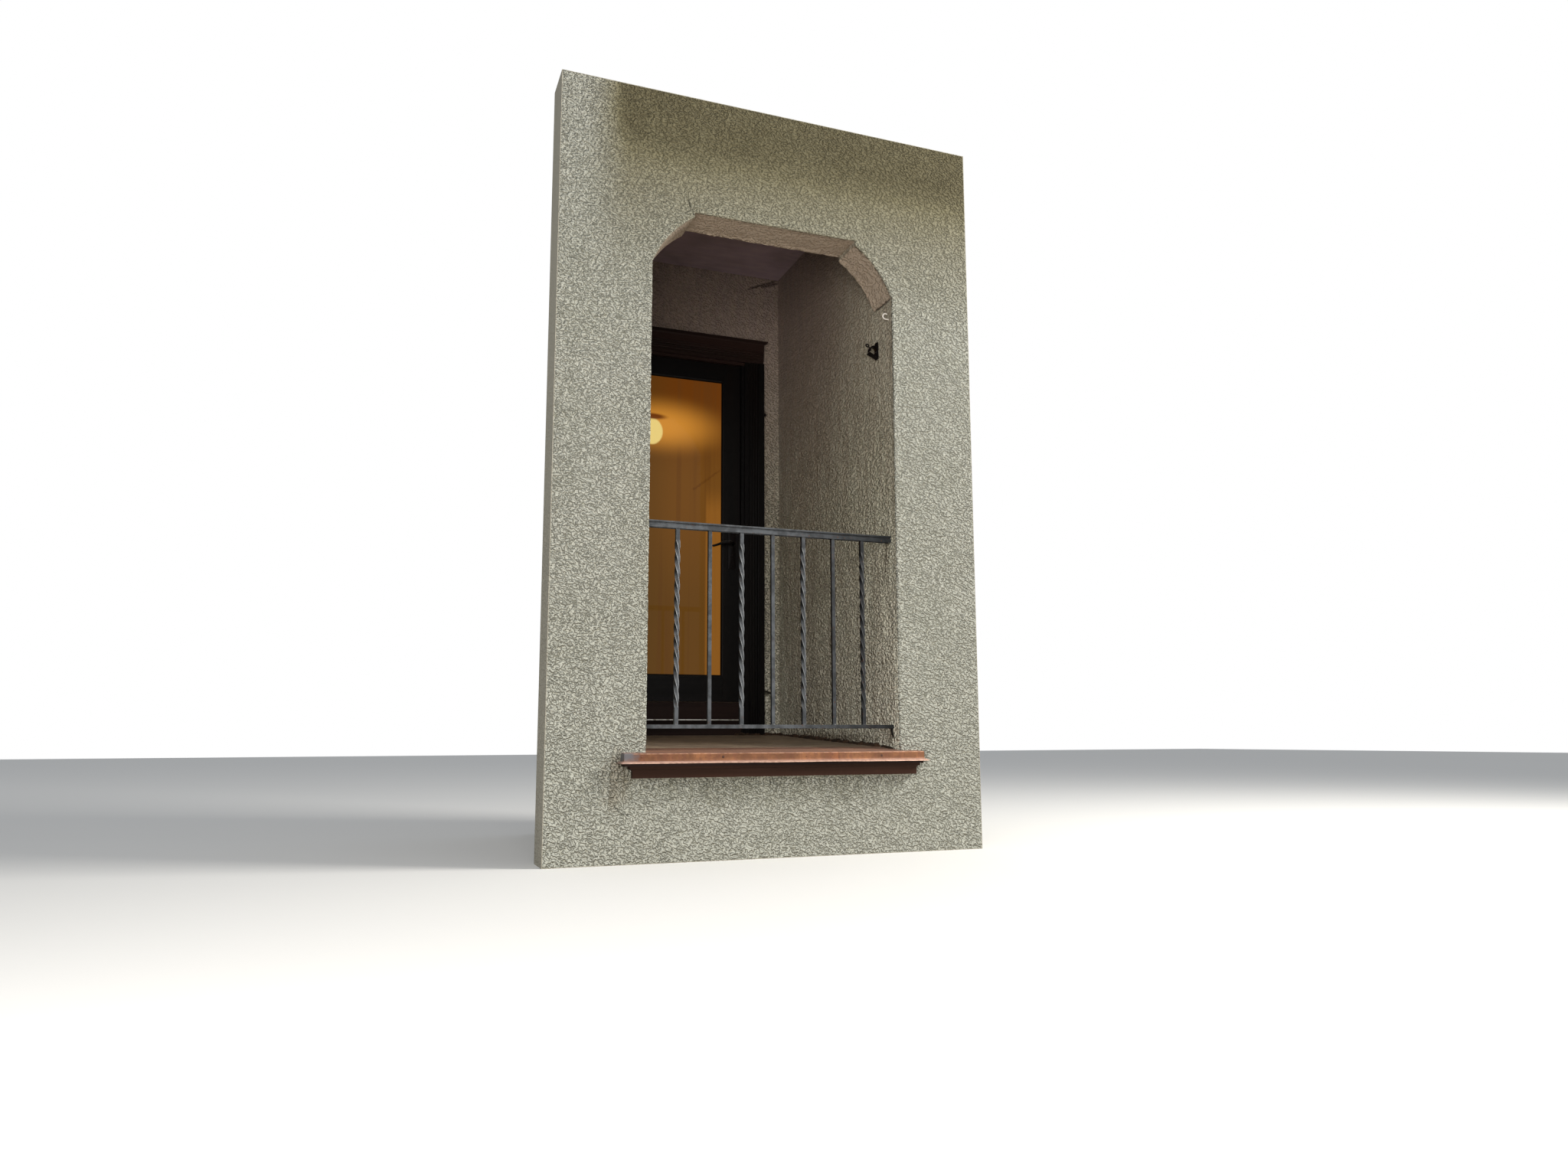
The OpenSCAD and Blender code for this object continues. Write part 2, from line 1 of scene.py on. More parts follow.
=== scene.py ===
# %% [markdown]
# # A recessed juliet balcony
#
# This is one bay of a rendered wall: an opening with curved upper corners, a sill clad in
# copper, an iron guard with twisted bars, and behind it a small recess with a glazed door.
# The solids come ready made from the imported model. What is added here is what such a bay
# gains on site and with age: the finish of every surface, soft arrises, welds, screws,
# folded sheet metal, laps of render and a little dirt.

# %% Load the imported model
import json
import math
from itertools import product

import bmesh
import bpy
import numpy as np
from mathutils import Matrix, Vector


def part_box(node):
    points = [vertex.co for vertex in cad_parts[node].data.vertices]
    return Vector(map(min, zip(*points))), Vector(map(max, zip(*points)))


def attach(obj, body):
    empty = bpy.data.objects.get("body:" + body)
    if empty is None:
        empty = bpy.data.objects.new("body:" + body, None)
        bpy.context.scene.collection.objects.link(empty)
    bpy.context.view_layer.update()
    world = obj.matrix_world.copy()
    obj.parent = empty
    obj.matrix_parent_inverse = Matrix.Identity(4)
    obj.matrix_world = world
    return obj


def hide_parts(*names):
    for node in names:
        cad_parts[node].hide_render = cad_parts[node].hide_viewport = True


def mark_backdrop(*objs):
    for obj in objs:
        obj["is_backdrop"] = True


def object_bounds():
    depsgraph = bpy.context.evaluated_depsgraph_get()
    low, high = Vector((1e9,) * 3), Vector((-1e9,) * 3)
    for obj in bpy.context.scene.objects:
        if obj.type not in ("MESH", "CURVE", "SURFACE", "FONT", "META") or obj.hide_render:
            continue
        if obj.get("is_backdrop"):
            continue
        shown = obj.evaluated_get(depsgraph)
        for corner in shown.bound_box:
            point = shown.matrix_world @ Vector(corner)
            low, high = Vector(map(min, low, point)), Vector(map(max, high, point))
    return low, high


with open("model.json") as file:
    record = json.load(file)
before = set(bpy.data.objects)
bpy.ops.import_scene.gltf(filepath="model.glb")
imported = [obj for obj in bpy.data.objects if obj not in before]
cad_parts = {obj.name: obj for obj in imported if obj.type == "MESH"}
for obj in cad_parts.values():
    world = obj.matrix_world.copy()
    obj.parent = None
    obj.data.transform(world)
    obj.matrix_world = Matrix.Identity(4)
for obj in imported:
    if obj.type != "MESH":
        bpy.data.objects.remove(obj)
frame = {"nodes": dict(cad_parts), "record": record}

nodes = frame["nodes"]
cad_low, cad_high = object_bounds()
MM = 0.001
print("solids in the frame:", len(nodes), "box:", [round(x, 3) for x in cad_high - cad_low])

# %% [markdown]
# ## Levels and faces
#
# Every added piece has to sit on the solids, so the faces of the wall, the sill and the
# guard are read from the boxes of the solids and given names. Only the shape of the
# opening's head can't be read from a box, so its five sizes are repeated here.

# %% Read the main faces from the frame
face_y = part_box("front_pier_left")[0].y
front_wall_back_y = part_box("front_pier_left")[1].y
back_wall_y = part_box("back_wall_left")[0].y
jamb_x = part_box("front_pier_right")[0].x
party_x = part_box("front_pier_right")[1].x
cheek_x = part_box("cheek_right")[1].x
top_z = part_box("front_header")[1].z
spring_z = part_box("front_header")[0].z
floor_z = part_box("copper_sill")[1].z
CORNER_W = 185 * MM
CORNER_H = 225 * MM
CORNER_BULGE = 23 * MM
SHOULDER_H = 22 * MM
LEDGE_W = 3 * MM
shoulder_z = spring_z + CORNER_H
soffit_z = shoulder_z + SHOULDER_H
print("opening:", round(2 * jamb_x, 3), "wide,", round(soffit_z - floor_z, 3), "high")

# %% [markdown]
# ## The camera
#
# The bay is seen from below and from the left. The camera's place, heading and lens were
# worked out from the two vanishing points of the facade, so that the wall's edges run the
# same way as on the real building. Its frame is taken to be 2048 by 1536 pixels.

# %% Set up the camera
CAMERA_AT = (-1.6555, -5.057, 0.491)
CAMERA_HEADING = 21.41
CAMERA_PITCH = 7.854
CAMERA_ROLL = -0.215
LENS = 24.96
SENSOR = 36.0


def turn(degrees, axis):
    """A turn about one axis, as a 4 by 4 matrix."""
    return Matrix.Rotation(math.radians(degrees), 4, axis)


camera_data = bpy.data.cameras.new("camera")
camera_data.lens = LENS
camera_data.sensor_width = SENSOR
camera = bpy.data.objects.new("camera", camera_data)
bpy.context.scene.collection.objects.link(camera)
camera.matrix_world = (Matrix.Translation(CAMERA_AT) @ turn(-CAMERA_HEADING, "Z")
                       @ turn(90 + CAMERA_PITCH, "X") @ turn(CAMERA_ROLL, "Z"))
bpy.context.scene.camera = camera
print("camera looks along", [round(x, 4) for x in -camera.matrix_world.col[2].xyz])

# %% [markdown]
# ## Helpers for shader nodes
#
# A material is a graph of small nodes. Here a node's output is wrapped as a Value, which is
# added, multiplied and mapped as a number would be, so that a mask reads like its formula.
# Colours are written as they look on a screen, 0 to 255, and changed to linear light.


# %% Colours and nodes
def paint(red, green, blue):
    """The linear colour of a screen colour: ((c / 255 + 0.055) / 1.055) to the power 2.4,
    or c / 255 / 12.92 near black, with an alpha of 1."""
    c = np.array([red, green, blue]) / 255
    linear = np.where(c <= 0.04045, c / 12.92, ((c + 0.055) / 1.055) ** 2.4)
    return (*linear.tolist(), 1.0)


def give(tree, socket, value):
    """Fills one input: a node's output is linked to it, a plain value is written into it."""
    if isinstance(value, Value):
        value = value.socket
    if isinstance(value, bpy.types.NodeSocket):
        tree.links.new(value, socket)
    else:
        socket.default_value = value


def add(tree, kind, inputs=None, **settings):
    """Adds one shader node, applies its settings, and fills its inputs."""
    made = tree.nodes.new("ShaderNode" + kind)
    for name, value in settings.items():
        setattr(made, name, value)
    for name, value in (inputs or {}).items():
        give(tree, made.inputs[name], value)
    return made


class Value:
    """A node's output: a number or a vector that changes over the surface."""

    def __init__(self, tree, socket):
        self.tree = tree
        self.socket = socket

    def node(self, kind, inputs, output=0, **settings):
        """Adds a node to the same graph, and returns one of its outputs."""
        return Value(self.tree, add(self.tree, kind, inputs, **settings).outputs[output])

    def math(self, operation, other=0.0, clamp=False):
        """One Math node on this value and another."""
        return self.node("Math", {0: self, 1: other}, operation=operation, use_clamp=clamp)

    def __add__(self, other):
        return self.math("ADD", other)

    def __sub__(self, other):
        return self.math("SUBTRACT", other)

    def __mul__(self, other):
        return self.math("MULTIPLY", other)

    def __truediv__(self, other):
        return self.math("DIVIDE", other)

    def over(self, limit):
        """1 where the value is above a limit, and 0 elsewhere."""
        return self.math("GREATER_THAN", limit)

    def under(self, limit):
        """1 where the value is below a limit, and 0 elsewhere."""
        return self.math("LESS_THAN", limit)

    def between(self, low, high, out_low=0.0, out_high=1.0, kind="SMOOTHSTEP"):
        """Maps the value from one range to another, held at both ends."""
        ends = {0: self, 1: low, 2: high, 3: out_low, 4: out_high}
        return self.node("MapRange", ends, interpolation_type=kind, clamp=True)

    def vector(self, operation, other=(0.0, 0.0, 0.0), scale=1.0):
        """One Vector Math node. A length and a dot product come out as a number."""
        output = 1 if operation in ("LENGTH", "DOT_PRODUCT") else 0
        return self.node("VectorMath", {0: self, 1: other, 3: scale}, output, operation=operation)

    def far(self, centre, reach):
        """The distance from a centre, with each axis measured in units of its reach."""
        return self.vector("SUBTRACT", centre).vector("DIVIDE", reach).vector("LENGTH")

    def noise(self, scale, detail=2.0, roughness=0.5, distortion=0.0, output=0):
        """A noise of so many features to the metre. Output 0 is a number, 1 a colour."""
        inputs = {0: self, "Scale": scale, "Detail": detail, "Roughness": roughness, "Distortion": distortion}
        return self.node("TexNoise", inputs, output)

    def mapped(self, angles=(0, 0, 0), scale=(1, 1, 1), kind="POINT"):
        """Turns and stretches a pattern. The kind POINT squeezes it by scale, and the kind
        TEXTURE turns it and draws it out by scale."""
        inputs = {0: self, "Rotation": [math.radians(a) for a in angles], "Scale": scale}
        return self.node("Mapping", inputs, vector_type=kind)

    def parts(self):
        """The three parts of a vector, as numbers."""
        return [Value(self.tree, socket) for socket in add(self.tree, "SeparateXYZ", {0: self}).outputs]

    def facing_up(self):
        """The upward part of the surface's normal: 1 on a floor, -1 on a ceiling."""
        return self.node("NewGeometry", {}, "Normal").parts()[2]

    def use(self, group, **values):
        """Places a group that reads this vector, and returns its outputs by name."""
        made = add(self.tree, "Group", {"Vector": self, **values}, node_tree=group)
        return {socket.name: Value(self.tree, socket) for socket in made.outputs}


print("a white wall is", paint(255, 255, 255))


# %% Coats of colour, and finished materials
class Coats:
    """A colour built up coat by coat, each laid over the last by a mask."""

    def __init__(self, tree, tone):
        self.tree = tree
        self.colour = paint(*tone)

    def lay(self, mask, tone, blend="MIX"):
        """Lays a tone over the colour so far: a screen colour, a node's output or other coats."""
        if isinstance(tone, tuple):
            tone = paint(*tone)
        elif isinstance(tone, Coats):
            tone = tone.colour
        inputs = {0: mask, 6: self.colour, 7: tone}
        self.colour = add(self.tree, "Mix", inputs, data_type="RGBA", blend_type=blend).outputs[2]


class Finish(Coats):
    """A material in the making: its coats, its Principled BSDF and where it is on the bay."""

    def __init__(self, name, tone, **constants):
        self.material = bpy.data.materials.new(name)
        self.material.use_nodes = True
        super().__init__(self.material.node_tree, tone)
        self.shader = self.tree.nodes["Principled BSDF"]
        self.where = Value(self.tree, add(self.tree, "TexCoord").outputs["Object"])
        self.feed(**constants)

    def feed(self, **values):
        """Fills the shader's inputs, whose names are written with _ for a space."""
        for name, value in values.items():
            give(self.tree, self.shader.inputs[name.replace("_", " ")], value)

    def done(self, height=None, depth=1 * MM, **changing):
        """Feeds the colour, a relief and whatever else changes over the surface."""
        self.feed(Base_Color=self.colour, **changing)
        if height is not None:
            bump = add(self.tree, "Bump", {"Strength": 1.0, "Distance": depth, "Height": height})
            self.feed(Normal=bump.outputs[0])
        print("material:", self.material.name)
        return self.material


ORIGIN = (0.0, 0.0, 0.0)


def node_group(name, inputs, recipe):
    """A shader node group with named sockets. The inputs give each socket's first value,
    three numbers for a vector, and the recipe turns them into the outputs by name."""
    group = bpy.data.node_groups.new(name, "ShaderNodeTree")
    for label, value in inputs.items():
        kind = "NodeSocketVector" if isinstance(value, tuple) else "NodeSocketFloat"
        socket = group.interface.new_socket(name=label, in_out="INPUT", socket_type=kind)
        socket.default_value = value
    given = group.nodes.new("NodeGroupInput").outputs
    made = recipe(*[Value(group, given[label]) for label in inputs])
    for label in made:
        kind = "NodeSocketColor" if label == "Colour" else "NodeSocketFloat"
        group.interface.new_socket(name=label, in_out="OUTPUT", socket_type=kind)
    out = group.nodes.new("NodeGroupOutput")
    for label, value in made.items():
        give(group, out.inputs[label], value)
    print("group:", name)
    return group


print("coats and finishes ready")

# %% [markdown]
# ## Effects that several materials share
#
# Render, rust, brush marks, cracks, streaks and dust turn up on more than one material, so
# each is a node group, built once. The dash render is the main one: coarse mortar thrown
# at the wall and left rough. It could be a displaced mesh, but its ridges are a few
# millimetres wide, finer than any sensible mesh here, so it is a relief in the shader.


# %% Groups: dash render and hairline cracks
def dash_relief(where, scale, patches):
    """Lumps that run into one another: a broad, wandering noise and one of half its size are added. Most of
    the height is a single step in the middle of their sum, which gives flat places with crisp ledges between
    them, and the rest follows the sum itself. A slow noise makes the relief stronger in some patches than in
    others. The second output marks the ledges' feet for painted shade and dirt."""
    both = where.noise(scale, detail=0.0, distortion=0.3) * 0.65 + where.noise(scale * 2.0, detail=0.0) * 0.35
    lumps = both.between(0.44, 0.56) * 0.6 + both.between(0.25, 0.75, kind="LINEAR") * 0.4
    patch = where.noise(patches, detail=1.0).between(0.35, 0.6, 0.8, 1.06)
    foot = both.between(0.40, 0.455) * both.between(0.455, 0.51, 1.0, 0.0)
    return {"Height": lumps * patch, "Crevice_shade_and_dirt": foot}


def hairline_crack(where, foot, tip, width):
    """A line from foot to tip: the distance to the line, after a noise has shaken the point,
    is compared with the width, and the ends are cut off by the share along the line."""
    shake = where.noise(70.0, output=1).vector("SUBTRACT", (0.5, 0.5, 0.5)).vector("SCALE", scale=0.018)
    point = where.vector("ADD", shake).vector("SUBTRACT", foot)
    line = tip.vector("SUBTRACT", foot)
    share = point.vector("DOT_PRODUCT", line) / line.vector("DOT_PRODUCT", line)
    gap = point.vector("SUBTRACT", line.vector("SCALE", scale=share)).vector("LENGTH")
    near = (gap / width).between(0.0, 1.0, 1.0, 0.0, kind="LINEAR")
    ends = share.between(-0.02, 0.05) * share.between(0.8, 1.05, 1.0, 0.0)
    return {"Mask": near * ends}


DASH = node_group("dash relief", {"Vector": ORIGIN, "Scale": 60.0, "Patches": 20.0}, dash_relief)
CRACK = node_group("hairline crack", {"Vector": ORIGIN, "Foot": ORIGIN, "Tip": ORIGIN, "Width": 1.5 * MM},
                   hairline_crack)


# %% Groups: soft spots and rain streaks
def soft_spot(where, centre, reach, ruffle, scale):
    """A soft-edged patch round a centre: 1 where the distance, in units of the reach, is
    below 0.35, fading to 0 at 1, after a noise has ruffled its edge."""
    edge = (where.noise(scale, detail=4.0, roughness=0.6) - 0.5) * (ruffle * 3.0)
    return {"Mask": (where.far(centre, reach) + edge).between(0.35, 1.0, 1.0, 0.0)}


def rain_streaks(where, scale, level):
    """Vertical streaks: a noise stretched twelve times in height, cut at the level."""
    drawn = where.mapped(scale=(1, 1, 0.08)).noise(scale, detail=3.0, roughness=0.6)
    return {"Mask": drawn.between(level, level + 0.14, kind="LINEAR")}


SPOT_INPUTS = {"Vector": ORIGIN, "Centre": ORIGIN, "Reach": (0.1, 0.1, 0.1), "Ruffle": 0.6, "Scale": 14.0}
SPOT = node_group("soft spot", SPOT_INPUTS, soft_spot)
STREAKS = node_group("rain streaks", {"Vector": ORIGIN, "Scale": 30.0, "Level": 0.5}, rain_streaks)


# %% Groups: rust, brushed paint and dust
def rust_spots(where, scale, level):
    """Rust spots: two noises multiplied and cut at the level, with a colour that runs from
    dark brown to orange brown by the finer noise."""
    fine = where.noise(scale * 4.3, detail=3.0)
    spots = where.noise(scale, detail=4.0, roughness=0.65) * (fine + 0.2)
    mask = spots.between(level, level + 0.06, kind="LINEAR")
    tone = Coats(where.tree, (52, 36, 28))
    tone.lay(fine.between(0.35, 0.65), (92, 60, 42))
    return {"Mask": mask, "Colour": tone.colour, "Height": mask * fine}


def brushed_paint(where, scale, wear):
    """Brush marks run along the stretched axis of the incoming vector: two noises of
    different fineness added, with a mask of thin worn places and a slow change of tone."""
    broad = where.noise(scale, detail=3.0, roughness=0.55)
    marks = broad + where.noise(scale * 3.1) * 0.4
    worn = broad.between(wear, wear + 0.05, kind="LINEAR")
    return {"Height": marks, "Worn": worn, "Tone": where.noise(scale * 0.12)}


def settled_dust(where, slope, scale):
    """Dust lies on what faces up: the upward part of the surface's normal, cut at the slope,
    broken up by a noise."""
    patchy = where.noise(scale, detail=4.0, roughness=0.6).between(0.3, 0.7, 0.35, 1.0)
    return {"Mask": where.facing_up().between(slope, 1.0, kind="LINEAR") * patchy}


RUST = node_group("rust spots", {"Vector": ORIGIN, "Scale": 60.0, "Level": 0.34}, rust_spots)
BRUSHED = node_group("brushed paint", {"Vector": ORIGIN, "Scale": 160.0, "Wear": 0.68}, brushed_paint)
DUST = node_group("settled dust", {"Vector": ORIGIN, "Slope": 0.6, "Scale": 24.0}, settled_dust)

# %% [markdown]
# ## The render
#
# The facade and the recess have the same thrown render, in one go round the corner. The front is pale; the
# reveals, the side walls and the back wall are browner, with painted shade that is deepest high up and deep
# inside, and painted light low down and on the underside of the head. So one material serves them all, and
# the place on the bay decides its tone. The front also has its own marks: the painted shadow of the eaves
# with damp in it, a brown run beside the sill and two cracks. Where the bay is cut from its house the faces
# are plain mortar.

# %% The render's tones, by place
CUT_EDGE = 3 * MM
MORTAR = (158, 156, 144)
FACE_TONE = (168, 170, 161)
FACE_RUNS = (
    ((-0.69, face_y, 0.33), (0.07, 0.3, 0.16), 0.12, (124, 108, 86)),
    ((0.0, face_y, 0.30), (0.85, 0.3, 0.11), 0.1, (120, 120, 102)))


def cut_faces(x, y, z):
    """1 on the faces where the bay is cut from the house: its ends, top, foot and back."""
    away = x.math("ABSOLUTE")
    outside = y.over(front_wall_back_y - CUT_EDGE) * away.over(cheek_x - CUT_EDGE)
    cut = away.over(party_x - CUT_EDGE)
    for mask in (z.over(top_z - CUT_EDGE), z.under(CUT_EDGE), outside, y.over(cad_high.y - CUT_EDGE)):
        cut = cut.math("MAXIMUM", mask)
    return cut


def recess_tone_and_shade(where, y, z, cloud):
    """The colour behind the face, with painted light and painted shade: paler low down, darker and purple
    brown high and deep.
    """
    deep = y.between(face_y, 0.35)
    streak = where.use(STREAKS, Scale=26.0, Level=0.42)["Mask"]
    coats = Coats(where.tree, (207, 206, 186))
    coats.lay(cloud, (193, 191, 171))
    # Painted light: paler low down.
    coats.lay(z.between(0.5, 1.8, 0.9, 0.0), (246, 246, 229))
    # Painted shade: darker deeper in, and purple brown high up and deep inside.
    coats.lay(deep * 0.5, (142, 136, 122))
    coats.lay(z.between(1.1, 3.0) * deep.between(0.0, 1.0, 0.55, 0.95), (122, 108, 102))
    coats.lay(streak * 0.3, (140, 126, 112))
    return coats


def weather_and_shade_face(finish, z, cloud, eaves):
    """Lays the front's weathering and painted shade: a pale foot, the painted shadow of the eaves with damp
    in its deepest band, and runs beside and under the sill."""
    where = finish.where
    finish.lay(cloud, (163, 165, 155))
    finish.lay(z.between(0.3, 1.5, 0.6, 0.0), (177, 180, 170))
    # Painted shadow of the eaves, greenish, deepest near the top, where damp patches break it up.
    finish.lay(eaves.between(0.0, 0.8, kind="LINEAR"), (120, 116, 93))
    damp = where.noise(6.0, detail=4.0, roughness=0.65).between(0.25, 0.6, 0.7, 1.0)
    finish.lay(eaves.between(0.72, 0.95) * damp, (95, 90, 69))
    streak = where.use(STREAKS, Scale=34.0, Level=0.38)["Mask"]
    for centre, reach, least, tone in FACE_RUNS:
        spot = where.use(SPOT, Centre=centre, Reach=reach, Ruffle=0.45)["Mask"]
        finish.lay(spot * streak.between(0.0, 1.0, least, 0.4), tone)


# %% Material: render
RENDER_DEPTH = 26 * MM
DASH_LEAN = (0, -66, 0)
DASH_DRAW = (1.0, 1.7, 1.5)
DASH_SCALE = 93.0
DARK = (40, 38, 30)
SPLIT = (58, 48, 44)
GAP_Z = spring_z + 1 * MM
CRACKS = (
    ((-0.388, face_y, 2.742), (-0.414, face_y, 2.812), 4.2 * MM, DARK),
    ((jamb_x, face_y + 4 * MM, GAP_Z), (jamb_x, front_wall_back_y, GAP_Z), 8 * MM, (78, 68, 58)),
    ((-0.672, face_y, 0.198), (-0.690, face_y, 0.232), 2.8 * MM, DARK),
    ((-0.672, face_y, 0.198), (-0.632, face_y, 0.190), 2.2 * MM, DARK),
    ((0.564, back_wall_y, 3.19), (0.371, back_wall_y, 3.107), 9 * MM, SPLIT),
    ((0.566, back_wall_y, 3.172), (0.46, back_wall_y, 3.136), 12 * MM, SPLIT),
    ((0.482, back_wall_y, 0.752), (0.53, back_wall_y, 0.738), 7 * MM, DARK),
    ((jamb_x, -0.672, 1.375), (jamb_x, -0.636, 1.19), 6 * MM, (92, 72, 50)))
STAINS = (
    ((jamb_x, -0.676, 0.490), (0.05, 0.020, 0.05), 0.7, (84, 70, 54)),
    ((jamb_x, -0.664, 1.385), (0.05, 0.024, 0.035), 0.6, (96, 78, 58)),
    ((0.484, back_wall_y, 2.356), (0.020, 0.3, 0.020), 0.7, (64, 48, 38)),
    ((0.495, back_wall_y, 0.743), (0.030, 0.3, 0.020), 0.8, (52, 40, 30)),
    ((jamb_x, 0.1, floor_z + 35 * MM), (0.06, 0.8, 0.045), 0.6, (96, 80, 62)),
    ((jamb_x, back_wall_y, 1.6), (0.012, 0.012, 1.2), 0.4, (170, 164, 148)))


def make_render():
    """Dash render. The face's tone gives way to the recess's tone, with its painted light and shade, just
    round the arris, and the relief is deepest where light rakes over it and shallow under the eaves, on the
    soffit and on the cut faces."""
    finish = Finish("dash_render", FACE_TONE, Roughness=0.92, Specular_IOR_Level=0.2)
    where = finish.where
    x, y, z = where.parts()
    cloud = where.noise(4.2, detail=5.0, roughness=0.62).between(0.35, 0.65)
    # Where the eaves' painted shadow falls: it rises towards the top and fades in between x = -0.90 and
    # -0.66.
    eaves = z.between(2.35, 3.15, kind="LINEAR") * x.between(-0.90, -0.66)
    weather_and_shade_face(finish, z, cloud, eaves)
    facing_up = where.facing_up()
    behind = recess_tone_and_shade(where, y, z, cloud)
    in_front = y.between(front_wall_back_y - 2 * MM, front_wall_back_y + 2 * MM, 1.0, 0.0)
    # Painted light: faces that look down within the front wall's depth are paler and pinker.
    behind.lay(facing_up.between(-0.34, -0.22, 0.75, 0.0) * in_front, (164, 149, 134))
    inside = y.between(face_y + 1 * MM, face_y + 10 * MM)
    finish.lay(inside, behind)
    dash = where.mapped(DASH_LEAN, DASH_DRAW, kind="TEXTURE").use(DASH, Scale=DASH_SCALE)
    height = dash["Height"]
    for centre, reach, strength, tone in STAINS:
        spot = where.use(SPOT, Centre=centre, Reach=reach, Ruffle=0.5, Scale=60.0)["Mask"]
        finish.lay(spot * strength, tone)
    for foot, tip, width, tone in CRACKS:
        crack = where.use(CRACK, Foot=foot, Tip=tip, Width=width)["Mask"]
        finish.lay(crack, tone)
        height = height - crack * 0.8
    # Painted shade and dirt in the feet of the render's ledges.
    finish.lay(dash["Crevice_shade_and_dirt"], (219, 216, 208), blend="MULTIPLY")
    cut = cut_faces(x, y, z)
    finish.lay(cut, MORTAR)
    front_level = eaves.between(0.2, 0.8, 1.2, 0.68) * z.between(0.1, 0.5, 0.8, 1.0)
    recess_level = z.between(1.0, 2.7, 1.5, 0.35)
    level = front_level + (recess_level - front_level) * inside
    level = level * facing_up.between(-0.34, -0.22, 0.45, 1.0) * cut.between(0.0, 1.0, 1.0, 0.15)
    return finish.done(height * level, RENDER_DEPTH)


RENDER = make_render()
print("the render has", len(CRACKS), "cracks and", len(STAINS), "stains")

# %% [markdown]
# ## Plaster, deck and metal strip
#
# The recess ceiling is trowelled smooth and has gone brown in the dark. The deck is a
# coated floor, worn and dusty. Both are drawn with stretched noises, since a trowel and a
# brush leave marks that run one way.


# %% Materials: plaster, deck, threshold
def make_ceiling():
    finish = Finish("ceiling_plaster", (146, 128, 138), Roughness=0.8)
    where = finish.where
    finish.lay(where.noise(4.0, detail=4.0, roughness=0.6).between(0.3, 0.7), (128, 113, 120))
    sweep = where.mapped((0, 0, 25), (0.25, 1, 1)).noise(30.0, detail=3.0)
    finish.lay(sweep.between(0.45, 0.7, 0.0, 0.3), (164, 144, 144))
    finish.lay(where.parts()[2].over(top_z - CUT_EDGE), MORTAR)
    return finish.done(sweep, 1.5 * MM)


def make_deck():
    finish = Finish("deck", (164, 144, 122), Roughness=0.7)
    where = finish.where
    finish.lay(where.noise(7.0, detail=5.0, roughness=0.65).between(0.35, 0.65), (126, 109, 94))
    scuff = where.mapped(scale=(0.3, 1, 1)).noise(60.0, detail=4.0, roughness=0.7)
    finish.lay(scuff.between(0.55, 0.7, 0.0, 0.7), (122, 110, 98))
    finish.lay(where.use(DUST, Slope=0.8, Scale=16.0)["Mask"] * 0.5, (104, 92, 76))
    return finish.done(scuff, 1.2 * MM)


def make_threshold():
    finish = Finish("threshold_metal", (196, 194, 188), Roughness=0.38, Metallic=0.9)
    wear = finish.where.noise(40.0, detail=4.0, roughness=0.7)
    finish.lay(wear.between(0.45, 0.65), (142, 136, 126))
    drawn = finish.where.mapped(scale=(0.04, 1, 1)).noise(400.0)
    return finish.done(drawn, 0.3 * MM, Roughness=wear.between(0.4, 0.7, 0.3, 0.6))


CEILING = make_ceiling()
DECK = make_deck()
THRESHOLD = make_threshold()

# %% [markdown]
# ## Painted wood
#
# The door is almost black and has kept its gloss; the casing and the boards round it are
# dark brown and dusty. A board's paint shows brush marks along its length, so each paint
# is made twice, for upright and for level boards.


# %% Materials: painted wood
def make_paint(name, tones, lengthways, gloss, dust=0.4):
    """Brushed paint over wood: tones are its light, dark and bare tones, lengthways is the
    squeeze of the pattern that sets the brush's direction."""
    light, dark, bare = tones
    finish = Finish(name, light, IOR=1.45, Specular_IOR_Level=0.18)
    brush = finish.where.mapped(scale=lengthways).use(BRUSHED, Scale=150.0, Wear=0.74)
    finish.lay(brush["Tone"].between(0.35, 0.65), dark)
    finish.lay(brush["Worn"], bare)
    finish.lay(finish.where.use(DUST, Slope=0.5, Scale=30.0)["Mask"] * dust, (112, 98, 84))
    rough = brush["Tone"].between(0.3, 0.7, gloss, gloss + 0.18)
    return finish.done(brush["Height"], 0.35 * MM, Roughness=rough)


UPRIGHT = (1.0, 1.0, 0.05)
LEVEL = (0.05, 1.0, 1.0)
BLACKS = ((13, 10, 9), (8, 7, 7), (34, 26, 22))
BROWNS = ((36, 24, 21), (26, 18, 16), (72, 52, 42))
BED_BROWNS = ((54, 34, 25), (42, 27, 20), (82, 60, 44))
DOOR_UPRIGHT = make_paint("dark_paint_upright", BLACKS, UPRIGHT, 0.34)
DOOR_LEVEL = make_paint("dark_paint_level", BLACKS, LEVEL, 0.34)
FRAME_UPRIGHT = make_paint("brown_paint_upright", BROWNS, UPRIGHT, 0.5, dust=0.7)
FRAME_LEVEL = make_paint("brown_paint_level", BROWNS, LEVEL, 0.5, dust=0.7)
BED_PAINT = make_paint("bed_paint", BED_BROWNS, LEVEL, 0.55)

# %% [markdown]
# ## Glass
#
# The pane is clear sealed glass, but from the street it shows the warm room behind: a
# bright lamp high on the left, a boarded wall, and darker corners. The room isn't part of
# the bay, so its glow is painted on the pane, faintly lit from within, under a clear coat
# that mirrors what stands in front.

# %% Material: glass
PANE_Y = 740 * MM


